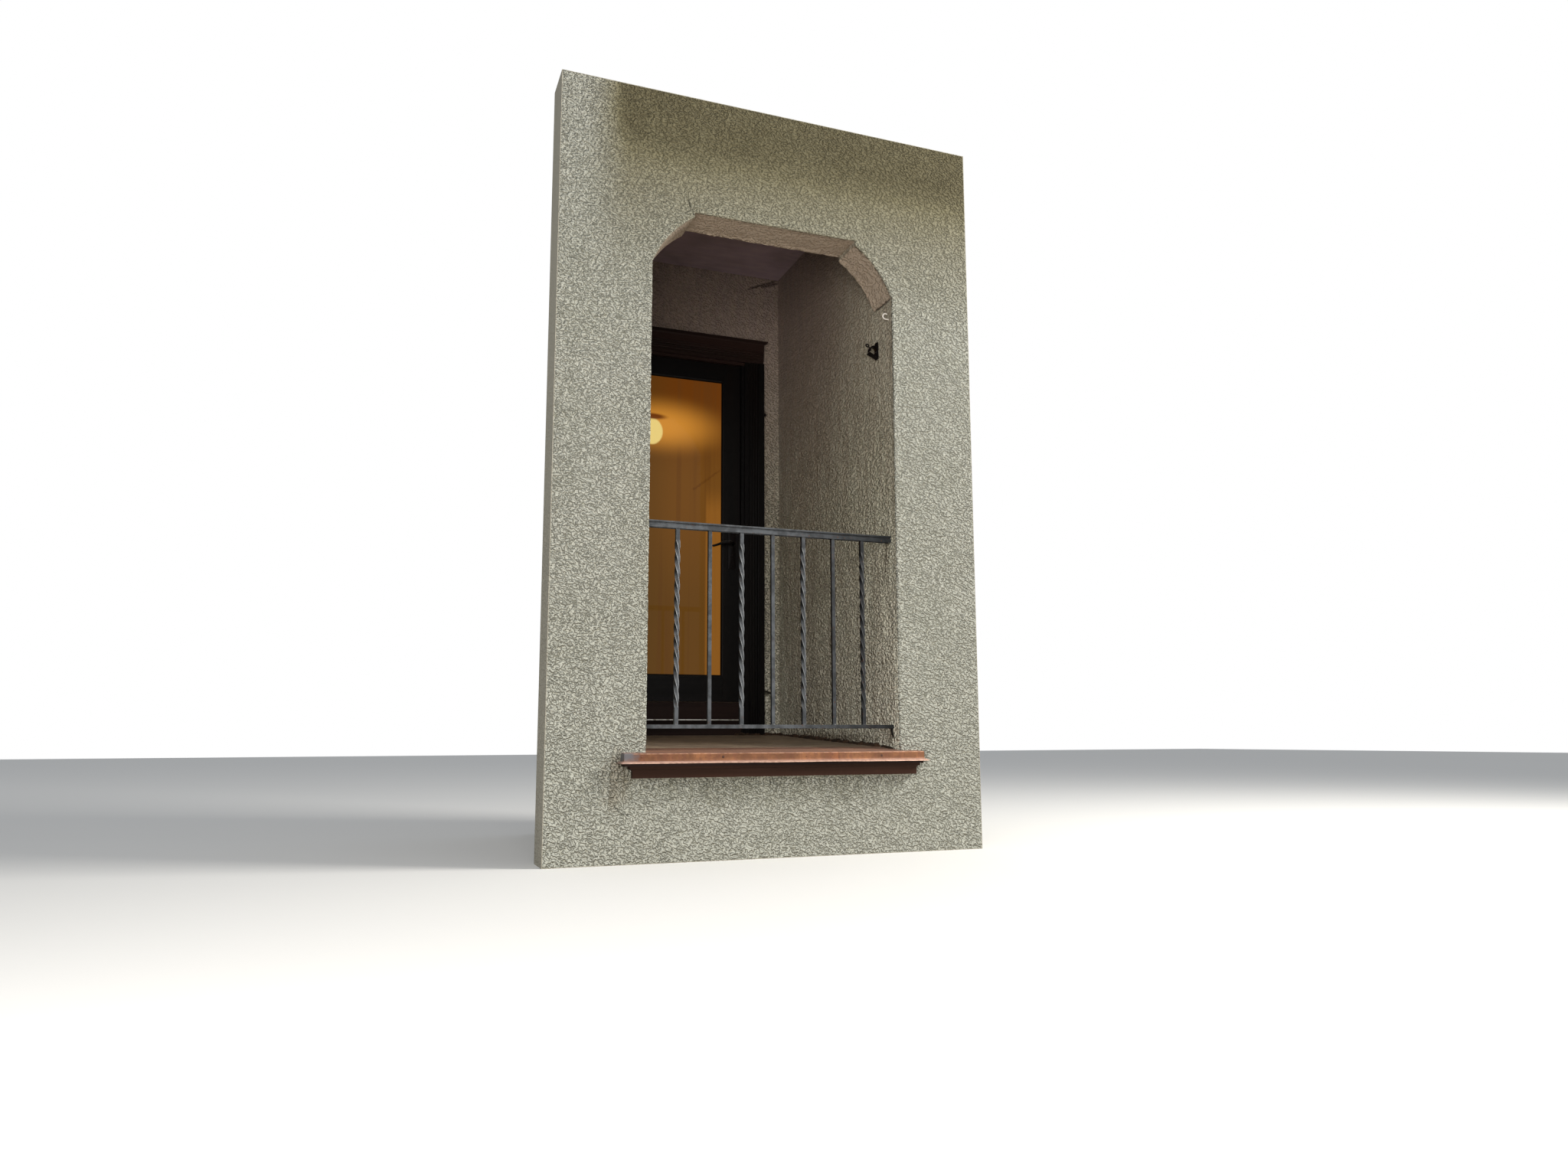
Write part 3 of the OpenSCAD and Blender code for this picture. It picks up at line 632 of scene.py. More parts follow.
def make_glass():
    """A vertical run of browns, with a pale strip and faint boards. The lamp's glow, ball
    and cap are round spots by distance, and the handrail behind the door is a faint line."""
    finish = Finish("door_glass", (106, 70, 25), Roughness=0.35, Coat_Weight=0.14, Coat_Roughness=0.03,
                    Specular_IOR_Level=0.0, Emission_Strength=0.75)
    where = finish.where
    x, y, z = where.parts()
    level = z.between(1.0, 2.5, kind="LINEAR")
    finish.lay(level.between(0.1, 0.55), (120, 77, 28))
    strip = x.between(0.135, 0.15) * level.between(0.5, 0.62, 1.0, 0.0)
    finish.lay(strip * 0.75, (156, 101, 38))
    finish.lay(level.between(0.6, 1.0), (108, 58, 14))
    across = x.between(-0.24, 0.24, kind="LINEAR")
    finish.lay(across.between(0.0, 0.5, 0.45, 0.0), (88, 62, 24))
    boards = where.mapped(scale=(1, 1, 0.02)).noise(26.0, roughness=0.4)
    finish.lay(boards.between(0.52, 0.66, 0.0, 0.35), (96, 58, 24))
    glow = where.far((-0.12, PANE_Y, 2.245), (0.50, 1.0, 0.215))
    finish.lay(glow.between(0.0, 1.0, 1.0, 0.0, kind="SMOOTHERSTEP"), (224, 150, 56))
    ball = where.far((-0.178, PANE_Y, 2.205), (0.068, 1.0, 0.082))
    finish.lay(ball.between(0.85, 1.0, 1.0, 0.0), (255, 226, 138))
    cap = where.use(SPOT, Centre=(-0.172, PANE_Y, 2.292), Reach=(0.105, 1.0, 0.024), Ruffle=0.0)
    finish.lay(cap["Mask"], (120, 62, 18))
    rail = where.use(CRACK, Foot=(0.065, PANE_Y, 1.885), Tip=(0.238, PANE_Y, 2.024), Width=9 * MM)
    finish.lay(rail["Mask"] * 0.5, (84, 46, 16))
    # The painted room is fed to the emission too, so the pane glows with painted light, and under it the
    # pane's own colour is made dark.
    finish.feed(Emission_Color=finish.colour)
    finish.lay(0.85, (20, 14, 8))
    return finish.done()


GLASS = make_glass()

# %% [markdown]
# ## Iron, white metal and copper
#
# The guard is grey painted iron with rust coming through in spots and at the welds, with painted highlights
# on its corners and painted shade on the faces away from the light. The handle and the broken bracket are
# black. The copper has weathered brown and orange, with a blue-grey patina where water stands at its left
# end, and painted highlights along its bend and its drip.

# %% Material: iron
# The way the painted light on the guard's iron comes from.
LIGHT_FROM = (0.6, -0.72, 0.35)


def make_iron(name, light, dark, rust_level, gloss, scale=60.0, mirror=0.14, painted_light=0.0):
    """Painted iron: two tones of paint, rust where the rust group says, and dust on top. The last argument
    sets how much painted light it has: corners that face the light get a painted highlight, faces turned away
    from it get painted shade, and the paint is darker towards its right end."""
    finish = Finish(name, light, Specular_IOR_Level=mirror)
    where = finish.where
    finish.lay(where.noise(26.0, detail=4.0, roughness=0.6).between(0.35, 0.65), dark)
    facing_light = where.node("NewGeometry", {}, "Normal").vector("DOT_PRODUCT", LIGHT_FROM)
    # Painted shade on the faces turned away from the light.
    finish.lay(facing_light.between(-0.3, 0.5, 0.95 * painted_light, 0.0), (14, 16, 18))
    corner = where.node("Attribute", {}, "Fac", attribute_name="corner").between(0.25, 1.0)
    # Painted highlight on the corners that face the light.
    finish.lay(corner * facing_light.between(0.1, 0.6, 0.0, 0.75 * painted_light), (152, 156, 160))
    finish.lay(where.parts()[0].between(0.0, 0.45, 0.0, 0.7 * painted_light), (20, 21, 22))
    finish.lay(where.use(DUST, Slope=0.4, Scale=40.0)["Mask"] * 0.5, (150, 148, 142))
    rust = where.use(RUST, Scale=scale, Level=rust_level)
    finish.lay(rust["Mask"], rust["Colour"])
    height = where.noise(260.0, detail=3.0) * 0.35 + rust["Height"]
    return finish.done(height, 0.5 * MM, Roughness=rust["Mask"].between(0.0, 1.0, gloss, 0.9))


# The guard's iron has its painted highlights and painted shade at full strength.
IRON = make_iron("guard_iron", (82, 86, 90), (58, 61, 64), 0.5, 0.32, painted_light=1.0)
BLACK = make_iron("black_metal", (20, 16, 16), (12, 10, 10), 0.54, 0.3, mirror=0.1)
WHITE = make_iron("white_metal", (232, 230, 224), (212, 208, 200), 0.52, 0.35, scale=200.0)

# %% Material: copper
copper_low, copper_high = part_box("copper_sill")
SILL_X = (copper_low.x + copper_high.x) / 2
SILL_HALF = (copper_high.x - copper_low.x) / 2
SILL_FALL = 18 * MM
COPPER_FACE_H = 30 * MM
SEAM_X = 247 * MM
NAIL_PLACES = ((-0.264, 0.416), (0.448, 0.416), (-0.6, 0.418), (0.1, 0.417))
STAINED_NAILS = NAIL_PLACES[:2]
NAIL_STAIN_Y = -829 * MM


def make_copper():
    """Copper: brown in two tones, orange up to the seam, with painted highlights along the bend and the drip,
    runs on the face, patina at the left, tips darkened with painted shade and dirt, and stains round two
    nails."""
    finish = Finish("copper", (98, 63, 40))
    where = finish.where
    x, y, z = where.parts()
    finish.lay(where.noise(9.0, detail=5.0, roughness=0.62).between(0.35, 0.65), (140, 94, 60))
    finish.lay(x.between(0.18, SEAM_X, kind="LINEAR") * x.under(SEAM_X) * 0.5, (168, 104, 60))
    fine = where.noise(90.0, detail=4.0, roughness=0.65)
    finish.lay(fine.between(0.5, 0.72, 0.0, 0.6), (96, 62, 48))
    # Painted highlight along the bend at the top of the face, broken up by a noise.
    bend = (z - (floor_z - SILL_FALL - 1.5 * MM)).math("ABSOLUTE").between(0.0, 2.5 * MM, 1.0, 0.0)
    worn = where.mapped(scale=(1, 1, 0.1)).noise(60.0, detail=3.0).between(0.35, 0.6, 0.15, 0.6)
    finish.lay(bend * worn, (214, 170, 144))
    # Painted highlight along the drip's edge.
    drip_z = floor_z - SILL_FALL - COPPER_FACE_H
    finish.lay(z.between(drip_z - 3 * MM, drip_z + 1 * MM, 1.0, 0.0) * 0.9, (226, 190, 170))
    runs = where.use(STREAKS, Scale=60.0, Level=0.46)["Mask"] * z.under(floor_z - SILL_FALL)
    finish.lay(runs * 0.4, (112, 68, 52))
    patina = where.use(SPOT, Centre=(-0.676, -0.80, 0.428), Reach=(0.07, 0.3, 0.045), Ruffle=0.4, Scale=30.0)
    finish.lay(patina["Mask"] * 0.9, (84, 88, 94))
    away = (x - SILL_X).math("ABSOLUTE")
    # The tips are darkened with painted shade and dirt.
    finish.lay(away.between(SILL_HALF - 12 * MM, SILL_HALF - 2 * MM) * 0.8, (74, 64, 58))
    for nail_x, nail_z in STAINED_NAILS:
        stain = where.use(SPOT, Centre=(nail_x, NAIL_STAIN_Y, nail_z), Reach=(0.007, 0.3, 0.008),
                          Ruffle=0.2, Scale=60.0)
        finish.lay(stain["Mask"] * 0.8, (52, 34, 30))
    finish.lay(where.facing_up().between(0.7, 0.95) * 0.45, (176, 140, 128))
    rough = fine.between(0.3, 0.7, 0.42, 0.62)
    metal = patina["Mask"].between(0.0, 1.0, 0.35, 0.0)
    return finish.done(fine, 0.4 * MM, Roughness=rough, Metallic=metal)


COPPER = make_copper()


# %% Material: dirt
def make_dirt():
    """Crumbly dirt, in two tones by two noises, with a grainy relief."""
    dark = (32, 24, 18)
    finish = Finish("floor_dirt", (70, 52, 38), Roughness=0.95)
    finish.lay(finish.where.noise(30.0, detail=5.0, roughness=0.7).between(0.35, 0.65), dark)
    grain = finish.where.noise(190.0, detail=4.0, roughness=0.7)
    finish.lay(grain.between(0.5, 0.7, 0.0, 0.6), dark)
    return finish.done(grain, 3 * MM)


DIRT = make_dirt()

# %% Give every solid its finish
FINISHES = {
    "facade_render": RENDER, "recess_render": RENDER, "ceiling_plaster": CEILING, "deck": DECK,
    "dark_paint": DOOR_UPRIGHT, "brown_paint": FRAME_UPRIGHT, "threshold_metal": THRESHOLD,
    "door_glass": GLASS, "black_metal": BLACK, "copper": COPPER, "guard_iron": IRON, "white_metal": WHITE}
LEVEL_BOARDS = dict.fromkeys(
    ("casing_head", "casing_cap", "jamb_head", "sill_board", "riser_board", "sill_core"), FRAME_LEVEL)
LEVEL_BOARDS.update(door_rail_top=DOOR_LEVEL, door_rail_bottom=DOOR_LEVEL, bed_moulding=BED_PAINT)
slot_of = {entry["node"]: entry["material_slot"] for entry in frame["record"]["subparts"]}
for name, solid in nodes.items():
    solid.data.materials.clear()
    solid.data.materials.append(LEVEL_BOARDS.get(name, FINISHES[slot_of[name]]))
print("dressed:", len(nodes), "solids in", len(set(slot_of.values())), "finishes")

# %% Soften the arrises of wood and iron
WELD_REACH = 0.05 * MM
SHARP_ANGLE = math.radians(40)
SOFT = {
    3.0: ["sill_board"],
    2.0: ["door_stile_left", "door_stile_right", "door_rail_top", "door_rail_bottom"],
    1.5: ["jamb_left", "jamb_right", "jamb_head", "riser_board"],
    1.0: ["casing_head", "metal_threshold", "baluster_2", "baluster_4", "baluster_6"],
    0.8: ["casing_left", "casing_right", "guard_channel", "guard_bottom_rail"],
    0.7: ["cheek_bracket"]}


def soften(solid, width):
    """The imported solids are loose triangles, so they are welded first. Then a bevel of one
    width rounds every edge sharper than 40 degrees."""
    solid.modifiers.new("join corners", "WELD").merge_threshold = WELD_REACH
    bevel = solid.modifiers.new("soft arris", "BEVEL")
    bevel.width = width
    bevel.segments = 2
    bevel.limit_method = "ANGLE"
    bevel.angle_limit = SHARP_ANGLE


for width, names in SOFT.items():
    for name in names:
        soften(nodes[name], width * MM)
print("softened:", sum(len(names) for names in SOFT.values()), "solids")

# %% [markdown]
# ## Building surfaces
#
# Every added piece is a tube of rings: a closed outline that is carried along a path. The
# same tool makes a rounded arris, a twisted bar, a folded sheet and a bead of mortar. The
# unevenness comes from a seeded noise, so it is the same each time.

# %% Tools for surfaces
HASH_STEPS = np.array([374761393, 668265263, 915488749])
HASH_SEED = 144665
HASH_MIX = 1274126177
WORD = 0xFFFFFFFF


def soft_noise(points, scale, seed):
    """Smooth values from -1 to 1. Each unit cell's eight corners get a hashed value, and
    they are mixed with the weights t * t * (3 - 2 * t) along each axis."""
    place = np.asarray(points) * scale
    cell = np.floor(place).astype(np.int64)
    share = place - cell
    weight = share * share * (3 - 2 * share)
    total = 0
    for corner in product((0, 1), repeat=3):
        code = ((cell + corner) @ HASH_STEPS + seed * HASH_SEED) & WORD
        code = ((code ^ (code >> 13)) * HASH_MIX) & WORD
        value = ((code ^ (code >> 16)) & 0xFFFFFF) / 0x7FFFFF - 1
        total = total + value * np.prod(np.where(corner, weight, 1 - weight), axis=-1)
    return total


def ease(t):
    """0 to 1 with level ends: t * t * (3 - 2 * t), held outside."""
    t = np.clip(t, 0, 1)
    return t * t * (3 - 2 * t)


def grid(*parts):
    """Rows of points from their x, y and z, where a part may be shared by all of a row."""
    return np.stack(np.broadcast_arrays(*parts), axis=-1)


def unit(vectors):
    """The same directions with a length of 1."""
    return vectors / np.linalg.norm(vectors, axis=1, keepdims=True)


def around(count):
    """Evenly spaced angles of one full turn."""
    return np.radians(np.arange(count) * 360 / count)


def along(points, step):
    """Points a step apart along a broken line."""
    points = np.asarray(points, dtype=float)
    lengths = np.concatenate([[0], np.cumsum(np.linalg.norm(np.diff(points, axis=0), axis=1))])
    places = np.linspace(0, lengths[-1], max(2, int(round(lengths[-1] / step)) + 1))
    return grid(*[np.interp(places, lengths, line) for line in points.T])


def sweep(spine, up, wide, tall, count):
    """An oval section carried along a spine. Across the run it has the half size wide, in
    the direction run x up, and upright to that the half size tall."""
    spine = np.asarray(spine, dtype=float)
    run = unit(np.gradient(spine, axis=0))
    side = unit(np.cross(run, up))
    lift = np.cross(side, run)
    turns = around(count)
    return (spine[:, None] + side[:, None] * (wide * np.cos(turns))[..., None]
            + lift[:, None] * (tall * np.sin(turns))[..., None])


print("noise at the origin:", soft_noise([0, 0, 0], 1, 1).round(3))


# %% Tubes and pieces
def tube(rings):
    """The corners and faces of a closed tube: quads between neighbouring rings, and a fan
    about the middle of the first and of the last ring."""
    count, sides = rings.shape[:2]
    index = np.arange(count * sides).reshape(count, sides)
    after = np.roll(index, -1, axis=1)
    quads = grid(index[:-1], after[:-1], after[1:], index[1:]).reshape(-1, 4).tolist()
    hubs = count * sides + np.arange(2)[:, None]
    fans = grid(hubs, index[[0, -1]], after[[0, -1]]).reshape(-1, 3).tolist()
    corners = np.concatenate([rings.reshape(-1, 3), rings[[0, -1]].mean(axis=1)])
    return corners, quads + fans


def make_piece(name, shells, material, replaces=(), smooth_under=35):
    """Puts shells into one mesh with its faces outward, rides it on the bay, and hides the solids it stands
    for."""
    mesh = bpy.data.meshes.new(name)
    starts = np.cumsum([0] + [len(corners) for corners, faces in shells])
    corners = np.concatenate([corners for corners, faces in shells])
    faces = [[i + start for i in face] for start, (_, part) in zip(starts.tolist(), shells) for face in part]
    mesh.from_pydata(corners.tolist(), [], faces)
    shape = bmesh.new()
    shape.from_mesh(mesh)
    bmesh.ops.recalc_face_normals(shape, faces=shape.faces)
    shape.to_mesh(mesh)
    shape.free()
    mesh.shade_smooth()
    mesh.set_sharp_from_angle(angle=math.radians(smooth_under))
    mesh.materials.append(material)
    piece = bpy.data.objects.new(name, mesh)
    bpy.context.scene.collection.objects.link(piece)
    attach(piece, "root")
    for node in replaces:
        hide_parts(node)
    print(f"{name}: {len(mesh.polygons)} faces")
    return piece


# %% [markdown]
# ## The rough arris round the opening
#
# The edge of the opening isn't a sharp line: the plasterer's float left it rounded and
# lumpy. It could be cut from the wall itself, but a thin strip laid over the edge is
# simpler. It stands a few millimetres proud at the edge and dives under the wall's faces
# 45 mm away, so no joint shows.

# %% The path round the opening
PATH_STEP = 4 * MM
ARC_POINTS = 40
START_BELOW = 15 * MM
SMOOTHING = 5


def opening_path():
    """Points of the opening's outline as x and z, from the right foot over the head to the
    left foot, and at each the direction into the wall. The corner's arc has the radius
    chord * chord / (8 * bulge) + bulge / 2."""
    wide = CORNER_W - LEDGE_W
    chord = math.hypot(wide, CORNER_H)
    radius = chord * chord / (8 * CORNER_BULGE) + CORNER_BULGE / 2
    reach = radius - CORNER_BULGE
    centre_x = jamb_x - LEDGE_W - wide / 2 - reach * CORNER_H / chord
    centre_z = spring_z + CORNER_H / 2 - reach * wide / chord
    first = math.atan2(spring_z - centre_z, jamb_x - LEDGE_W - centre_x)
    last = math.atan2(shoulder_z - centre_z, jamb_x - CORNER_W - centre_x)
    turns = np.linspace(first, last, ARC_POINTS)
    arc = grid(centre_x + radius * np.cos(turns), centre_z + radius * np.sin(turns))
    half = np.concatenate([[[jamb_x, floor_z - START_BELOW], [jamb_x, spring_z]], arc,
                           [[jamb_x - CORNER_W, soffit_z], [0, soffit_z]]])
    points = along(np.concatenate([half, half[-2::-1] * (-1, 1)]), PATH_STEP)
    run = np.pad(np.gradient(points, axis=0), ((SMOOTHING // 2,) * 2, (0, 0)), "edge")
    evenly = np.ones(SMOOTHING) / SMOOTHING
    run_x, run_z = unit(grid(*[np.convolve(run[:, k], evenly, "valid") for k in (0, 1)])).T
    return points, grid(run_z, -run_x)


path, into_wall = opening_path()
print("path:", len(path), "points")

# %% Lay the strip over the edge
STRIP_W = 45 * MM
STRIP_R = 5 * MM
BURIED = 12 * MM
DEEPEST_DENT = 0.6 * MM


def arris_rings(points, inward, start_y, sense, proud, rough, seed):
    """Rings across a rounded edge. Across the strip the surface stands h proud, with
    h = proud * (1 - e) - 1 mm * e and e = ease(distance / 45 mm). The corner between the
    two faces is a quarter round. sense is 1 where the wall lies behind the face at start_y
    and -1 where it lies in front."""
    def placed(side, deep):
        """Points so far into the wall beside the opening, and so far behind its face."""
        return grid(points[:, None, 0] + inward[:, None, 0] * side, start_y + sense * deep,
                    points[:, None, 1] + inward[:, None, 1] * side)

    flat = np.linspace(1, 0, 9) ** 1.3 * STRIP_W
    sunk = ease(flat / STRIP_W)
    lift = proud * (1 - sunk) - 1 * MM * sunk
    bend = np.radians(np.linspace(0, 90, 6))[1:-1]
    middle = STRIP_R - proud
    side = np.concatenate([flat + middle, middle - STRIP_R * np.sin(bend), -lift[::-1]])
    deep = np.concatenate([-lift, middle - STRIP_R * np.cos(bend), flat[::-1] + middle])
    way = unit(grid(np.gradient(deep), -np.gradient(side)))
    rings = placed(side, deep)
    fade = 1 - np.concatenate([sunk, 0 * bend, sunk[::-1]])
    lumps = sum(soft_noise(rings, scale, seed + k) * share
                for k, (scale, share) in enumerate(((16, 1.0), (60, 0.8), (150, 0.5))))
    bump = np.maximum(lumps * rough * fade, -DEEPEST_DENT)
    rings = placed(side + way[:, 0] * bump, deep + way[:, 1] * bump)
    return np.concatenate([rings, placed(BURIED, BURIED)], axis=1)


front_edge = arris_rings(path, into_wall, face_y, 1, 2.2 * MM, 1.0 * MM, 11)
make_piece("render_arris_front", [tube(front_edge)], RENDER)
over = path[:, 1] > spring_z + 1 * MM
back_edge = arris_rings(path[over], into_wall[over], front_wall_back_y, -1, 3.0 * MM, 3.4 * MM, 23)
make_piece("render_arris_back", [tube(back_edge)], RENDER)

# %% [markdown]
# ## The guard's bars
#
# A twisted bar starts as square bar. Each end is held in a clamp, and the hot middle is
# turned through three full turns, so the two ends stay plain. Along the twist the ring
# turns steadily, and it eases in and out where the clamps held it.

# %% Twisted bars
BAR_W = 17.4 * MM
BAR_R = 1.2 * MM
PLAIN_FOOT = 63 * MM
PLAIN_TOP = 55 * MM
TWIST = 1080
EASE_IN = 12 * MM
BAR_RINGS = 281
BOW = 0.6 * MM
BOW_FROM_END = 100 * MM
WORN = 0.12 * MM
SMOOTH_TWIST = 50
TWISTED = (1, 3, 5, 7)


def bar_outline():
    """A square with rounded corners: four points round each corner and two on each flat,
    a fifth of the flat in from its ends, with each point's worth as a corner."""
    inner = BAR_W / 2 - BAR_R
    angles = np.radians(np.arange(0, 360, 90)[:, None] + np.array([0, 30, 60, 90]))
    way = grid(np.cos(angles), np.sin(angles))
    corners = np.sign(way[:, 1:2] + 0.001) * inner + BAR_R * way
    along_flat = np.roll(corners[:, 0], -1, axis=0) - corners[:, 3]
    flats = corners[:, 3:4] + along_flat[:, None] * np.array([0.2, 0.8])[:, None]
    outline = np.concatenate([corners, flats], axis=1).reshape(-1, 2)
    return outline, np.tile([1.0, 1.0, 1.0, 1.0, 0.0, 0.0], 4)


def twisted_bar(name, seed):
    """The turn at height z is -TWIST * t, where t runs from 0 to 1 between the plain ends
    and is eased near them. The bar's middle line wanders by half a millimetre. Besides the
    shell it gives each point's worth as a corner, which is nil on the plain ends."""
    low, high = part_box(name)
    middle = np.mean([low, high], axis=0)
    z = np.linspace(low.z, high.z, BAR_RINGS)
    slope = ease((z - low.z - PLAIN_FOOT) / EASE_IN) * ease((high.z - PLAIN_TOP - z) / EASE_IN)
    turns = -np.radians(TWIST) * (np.cumsum(slope) / np.sum(slope))[:, None]
    outline, worth = bar_outline()
    x = outline[:, 0] * np.cos(turns) - outline[:, 1] * np.sin(turns)
    y = outline[:, 0] * np.sin(turns) + outline[:, 1] * np.cos(turns)
    bow = ease((z - low.z) / BOW_FROM_END) * ease((high.z - z) / BOW_FROM_END) * BOW
    wander = [(soft_noise(grid(0, 0, z), 5, seed + k) * bow)[:, None] for k in (0, 1)]
    rings = grid(middle[0] + x + wander[0], middle[1] + y + wander[1], z[:, None])
    rings += soft_noise(rings, 120, seed + 2)[..., None] * WORN * grid(x, y, 0) / (BAR_W / 2)
    return tube(rings), np.append(slope[:, None] * worth, [0, 0])


for number in TWISTED:
    name = f"baluster_{number}"
    shell, worth = twisted_bar(name, number * 7)
    bar = make_piece(f"twisted_bar_{number}", [shell], IRON, [name], SMOOTH_TWIST)
    bar.data.attributes.new("corner", "FLOAT", "POINT").data.foreach_set("value", worth.astype(np.float32))

# %% Weld beads at the ends of the bars
INTO_CHANNEL = 13 * MM
BEAD_HALF = np.array([10.6, 10.2, 9.4, 8.6, 7.6])[:, None] * MM
BEAD_RISE = np.linspace(-1, 5, 5)[:, None] * MM


def weld_bead(at, sense, seed):
    """A lumpy ring round a bar's end: five rings whose half width shrinks from 10.6 to 7.6 mm
    over 5 mm of height, up or down by sense."""
    turns = around(12)
    square = 1 / np.maximum(np.abs(np.cos(turns)), np.abs(np.sin(turns))) ** 0.7
    rings = grid(at[0] + BEAD_HALF * np.cos(turns) * square, at[1] + BEAD_HALF * np.sin(turns) * square,
                 at[2] + sense * BEAD_RISE)
    return tube(rings + soft_noise(rings, 180, seed)[..., None] * 0.8 * MM)


beads = []
for number in range(1, 8):
    low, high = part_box(f"baluster_{number}")
    x, y, _ = np.mean([low, high], axis=0)
    beads.append(weld_bead((x, y, low.z), 1, number))
    beads.append(weld_bead((x, y, high.z - INTO_CHANNEL), -1, number + 30))
make_piece("weld_beads", beads, IRON)

# %% [markdown]
# ## The copper sill
#
# The sill's copper is a sheet folded over a wooden nose. Its front and ends are bent down,
# kicked out in a drip and hemmed, and two lengths lap near the right. The outline below is
# carried round three sides with mitred corners. Folded sheet is never quite flat, so it
# has shallow dents and its hem wavers.

# %% The copper's fold
SHEET_T = 1.6 * MM
DRIP_OUT = 19 * MM
LAP = 1.0 * MM
LAP_REACH = 1.4 * MM
KICK_Z = 40 * MM
KICK_H = 16 * MM
INTO_WALL = 3 * MM
NOSE_Y = copper_low.y + DRIP_OUT
END_X = SILL_HALF - DRIP_OUT
OUTER = [
    (-10, -17.2), (-3, -17.7), (-1.2, -18.1), (-0.3, -19.1), (0, -20.5), (0, -26), (0, -32), (0, -38),
    (0.2, -43), (1, -46.2), (3, -48.2), (6, -49.7), (10, -51.4), (14, -53.2), (17.5, -54.8), (19, -55.6),
    (19.4, -56.6), (18.8, -57.5), (17.2, -57.2)]
INNER = [(15.4, -55.9), (12, -54.4), (6, -51.6), (1.5, -49.6), (-1.2, -46.5), (-1.9, -42), (-1.9, -22),
         (-10, -19.4)]


def copper_skirt():
    """The folded outline as outward offset and height, carried from the wall along the left
    end, the front and the right end. At offset d the front lies at NOSE_Y - d and the ends
    at END_X + d from the sill's middle, which mitres the corners. Past the lap the sheet
    stands 1 mm further out."""
    offset, height = (np.array(OUTER + INNER) * MM).T
    wide = END_X + offset
    front = NOSE_Y - offset
    wall = face_y + INTO_WALL
    lap_at = (SEAM_X - SILL_X) / END_X
    across = np.unique(np.concatenate([np.linspace(-1, 1, 240), lap_at + np.linspace(-1, 1, 7) * 0.002]))
    left = grid(-wide, wall + np.linspace(0, 1, 12)[:, None] * (front - wall))
    nose = grid(across[:, None] * wide, front)
    flat = np.concatenate([left, nose[1:-1], left[::-1] * (-1, 1)])
    rings = grid(flat[..., 0] + SILL_X, flat[..., 1], floor_z + height)
    level = rings * (1, 1, 0)
    kick = ease((-height - KICK_Z) / KICK_H)
    sag = (soft_noise(level, 5, 3) * 1.6 + soft_noise(level, 22, 4) * 0.7) * kick * MM
    dents = (soft_noise(rings, 14, 5) * 0.7 + soft_noise(rings, 45, 6) * 0.25) * MM
    lap = ease((rings[..., 0] - SEAM_X) / LAP_REACH) * LAP * (rings[..., 0] < SILL_X + END_X - 20 * MM)
    middle = (np.abs(rings[..., 0] - SILL_X) < END_X - 3 * MM) * (rings[..., 1] < face_y - 30 * MM)
    rings[..., 1] -= (dents + lap) * middle
    rings[..., 2] += sag * 0.6
    return tube(rings)


def copper_top(x0, x1, y0, y1, seed):
    """A thin sheet between two ends, with the sill's fall: z = fall * (y - back) / depth."""
    x = np.linspace(x0, x1, int((x1 - x0) / (6 * MM)))[:, None]
    y = np.linspace(y0, y1, 14)
    z = floor_z + SILL_FALL * (y - front_wall_back_y) / (front_wall_back_y - NOSE_Y)
    upper = grid(x, y, z + 0.4 * MM)
    upper[..., 2] += (soft_noise(upper, 13, seed) * 0.5 + soft_noise(upper, 40, seed) * 0.2) * MM
    return tube(np.concatenate([upper, grid(x, y[::-1], z[::-1] - SHEET_T)], axis=1))


make_piece("copper_sheet", [
    copper_skirt(),
    copper_top(SILL_X - END_X + 1 * MM, SILL_X + END_X - 1 * MM, NOSE_Y + 1 * MM, face_y + 1 * MM, 7),
    copper_top(-jamb_x, jamb_x, face_y, front_wall_back_y, 8)], COPPER, ["copper_sill"])

# %% Nails through the copper
NAIL_HALF = np.array([3.2, 3.2, 2.4, 0.8])[:, None] * MM
NAIL_OUT = np.array([-1.0, 0.6, 1.5, 1.9])[:, None] * MM


def nail_head(x, z):
    """A low round head on the copper's face: four rings of twelve points."""
    turns = around(12)
    return tube(grid(x + NAIL_HALF * np.cos(turns), NOSE_Y - NAIL_OUT, z + NAIL_HALF * np.sin(turns)))


make_piece("copper_nails", [nail_head(x, z) for x, z in NAIL_PLACES], COPPER)

# %% [markdown]
# ## The lever handle
#
# A long plate carries a lever that leaves it straight, bends towards the hinges and droops
# at its tip, with a lock cylinder below. Both sides of the door have one.

# %% Lever, plate, cylinder and screws
leaf_low, leaf_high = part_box("door_stile_right")
PLATE_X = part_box("door_handle")[1].x - 22.5 * MM
LEVER_Z = floor_z + 1134 * MM
LEVER_REACH = 128 * MM
SCREW_DEPTHS = (3, 6.6, 7.4, 7.6)
SCREW_INSETS = (0, 0, 1, 2.6)
DISCS = (
    (-35, 22.5, 110, 8, (-1, 4, 5.4, 6), (0, 0, 0.6, 2.2)),
    (0, 14, 14, 14, (3, 9, 11, 12), (0, 0, 0.8, 3)),
    (-72, 9.5, 9.5, 9.5, (3, 9.5, 10.5, 10.5), (0, 0, 1.2, 4)),
    (63, 4, 4, 4, SCREW_DEPTHS, SCREW_INSETS),
    (-133, 4, 4, 4, SCREW_DEPTHS, SCREW_INSETS))


def disc_rings(above, half_w, half_h, radius, depths, insets):
    """The plate, rose, cylinder and screws, in millimetres: rounded outlines so far above
    the lever, each drawn in by its inset, at rising depths off the door."""
    turns = np.radians(np.arange(0, 360, 10) + 5)
    bend = (radius - np.array(insets)[:, None]) * MM
    x = PLATE_X + np.sign(np.cos(turns)) * (half_w - radius) * MM + bend * np.cos(turns)
    z = LEVER_Z + above * MM + np.sign(np.sin(turns)) * (half_h - radius) * MM + bend * np.sin(turns)
    return grid(x, -np.array(depths)[:, None] * MM, z)


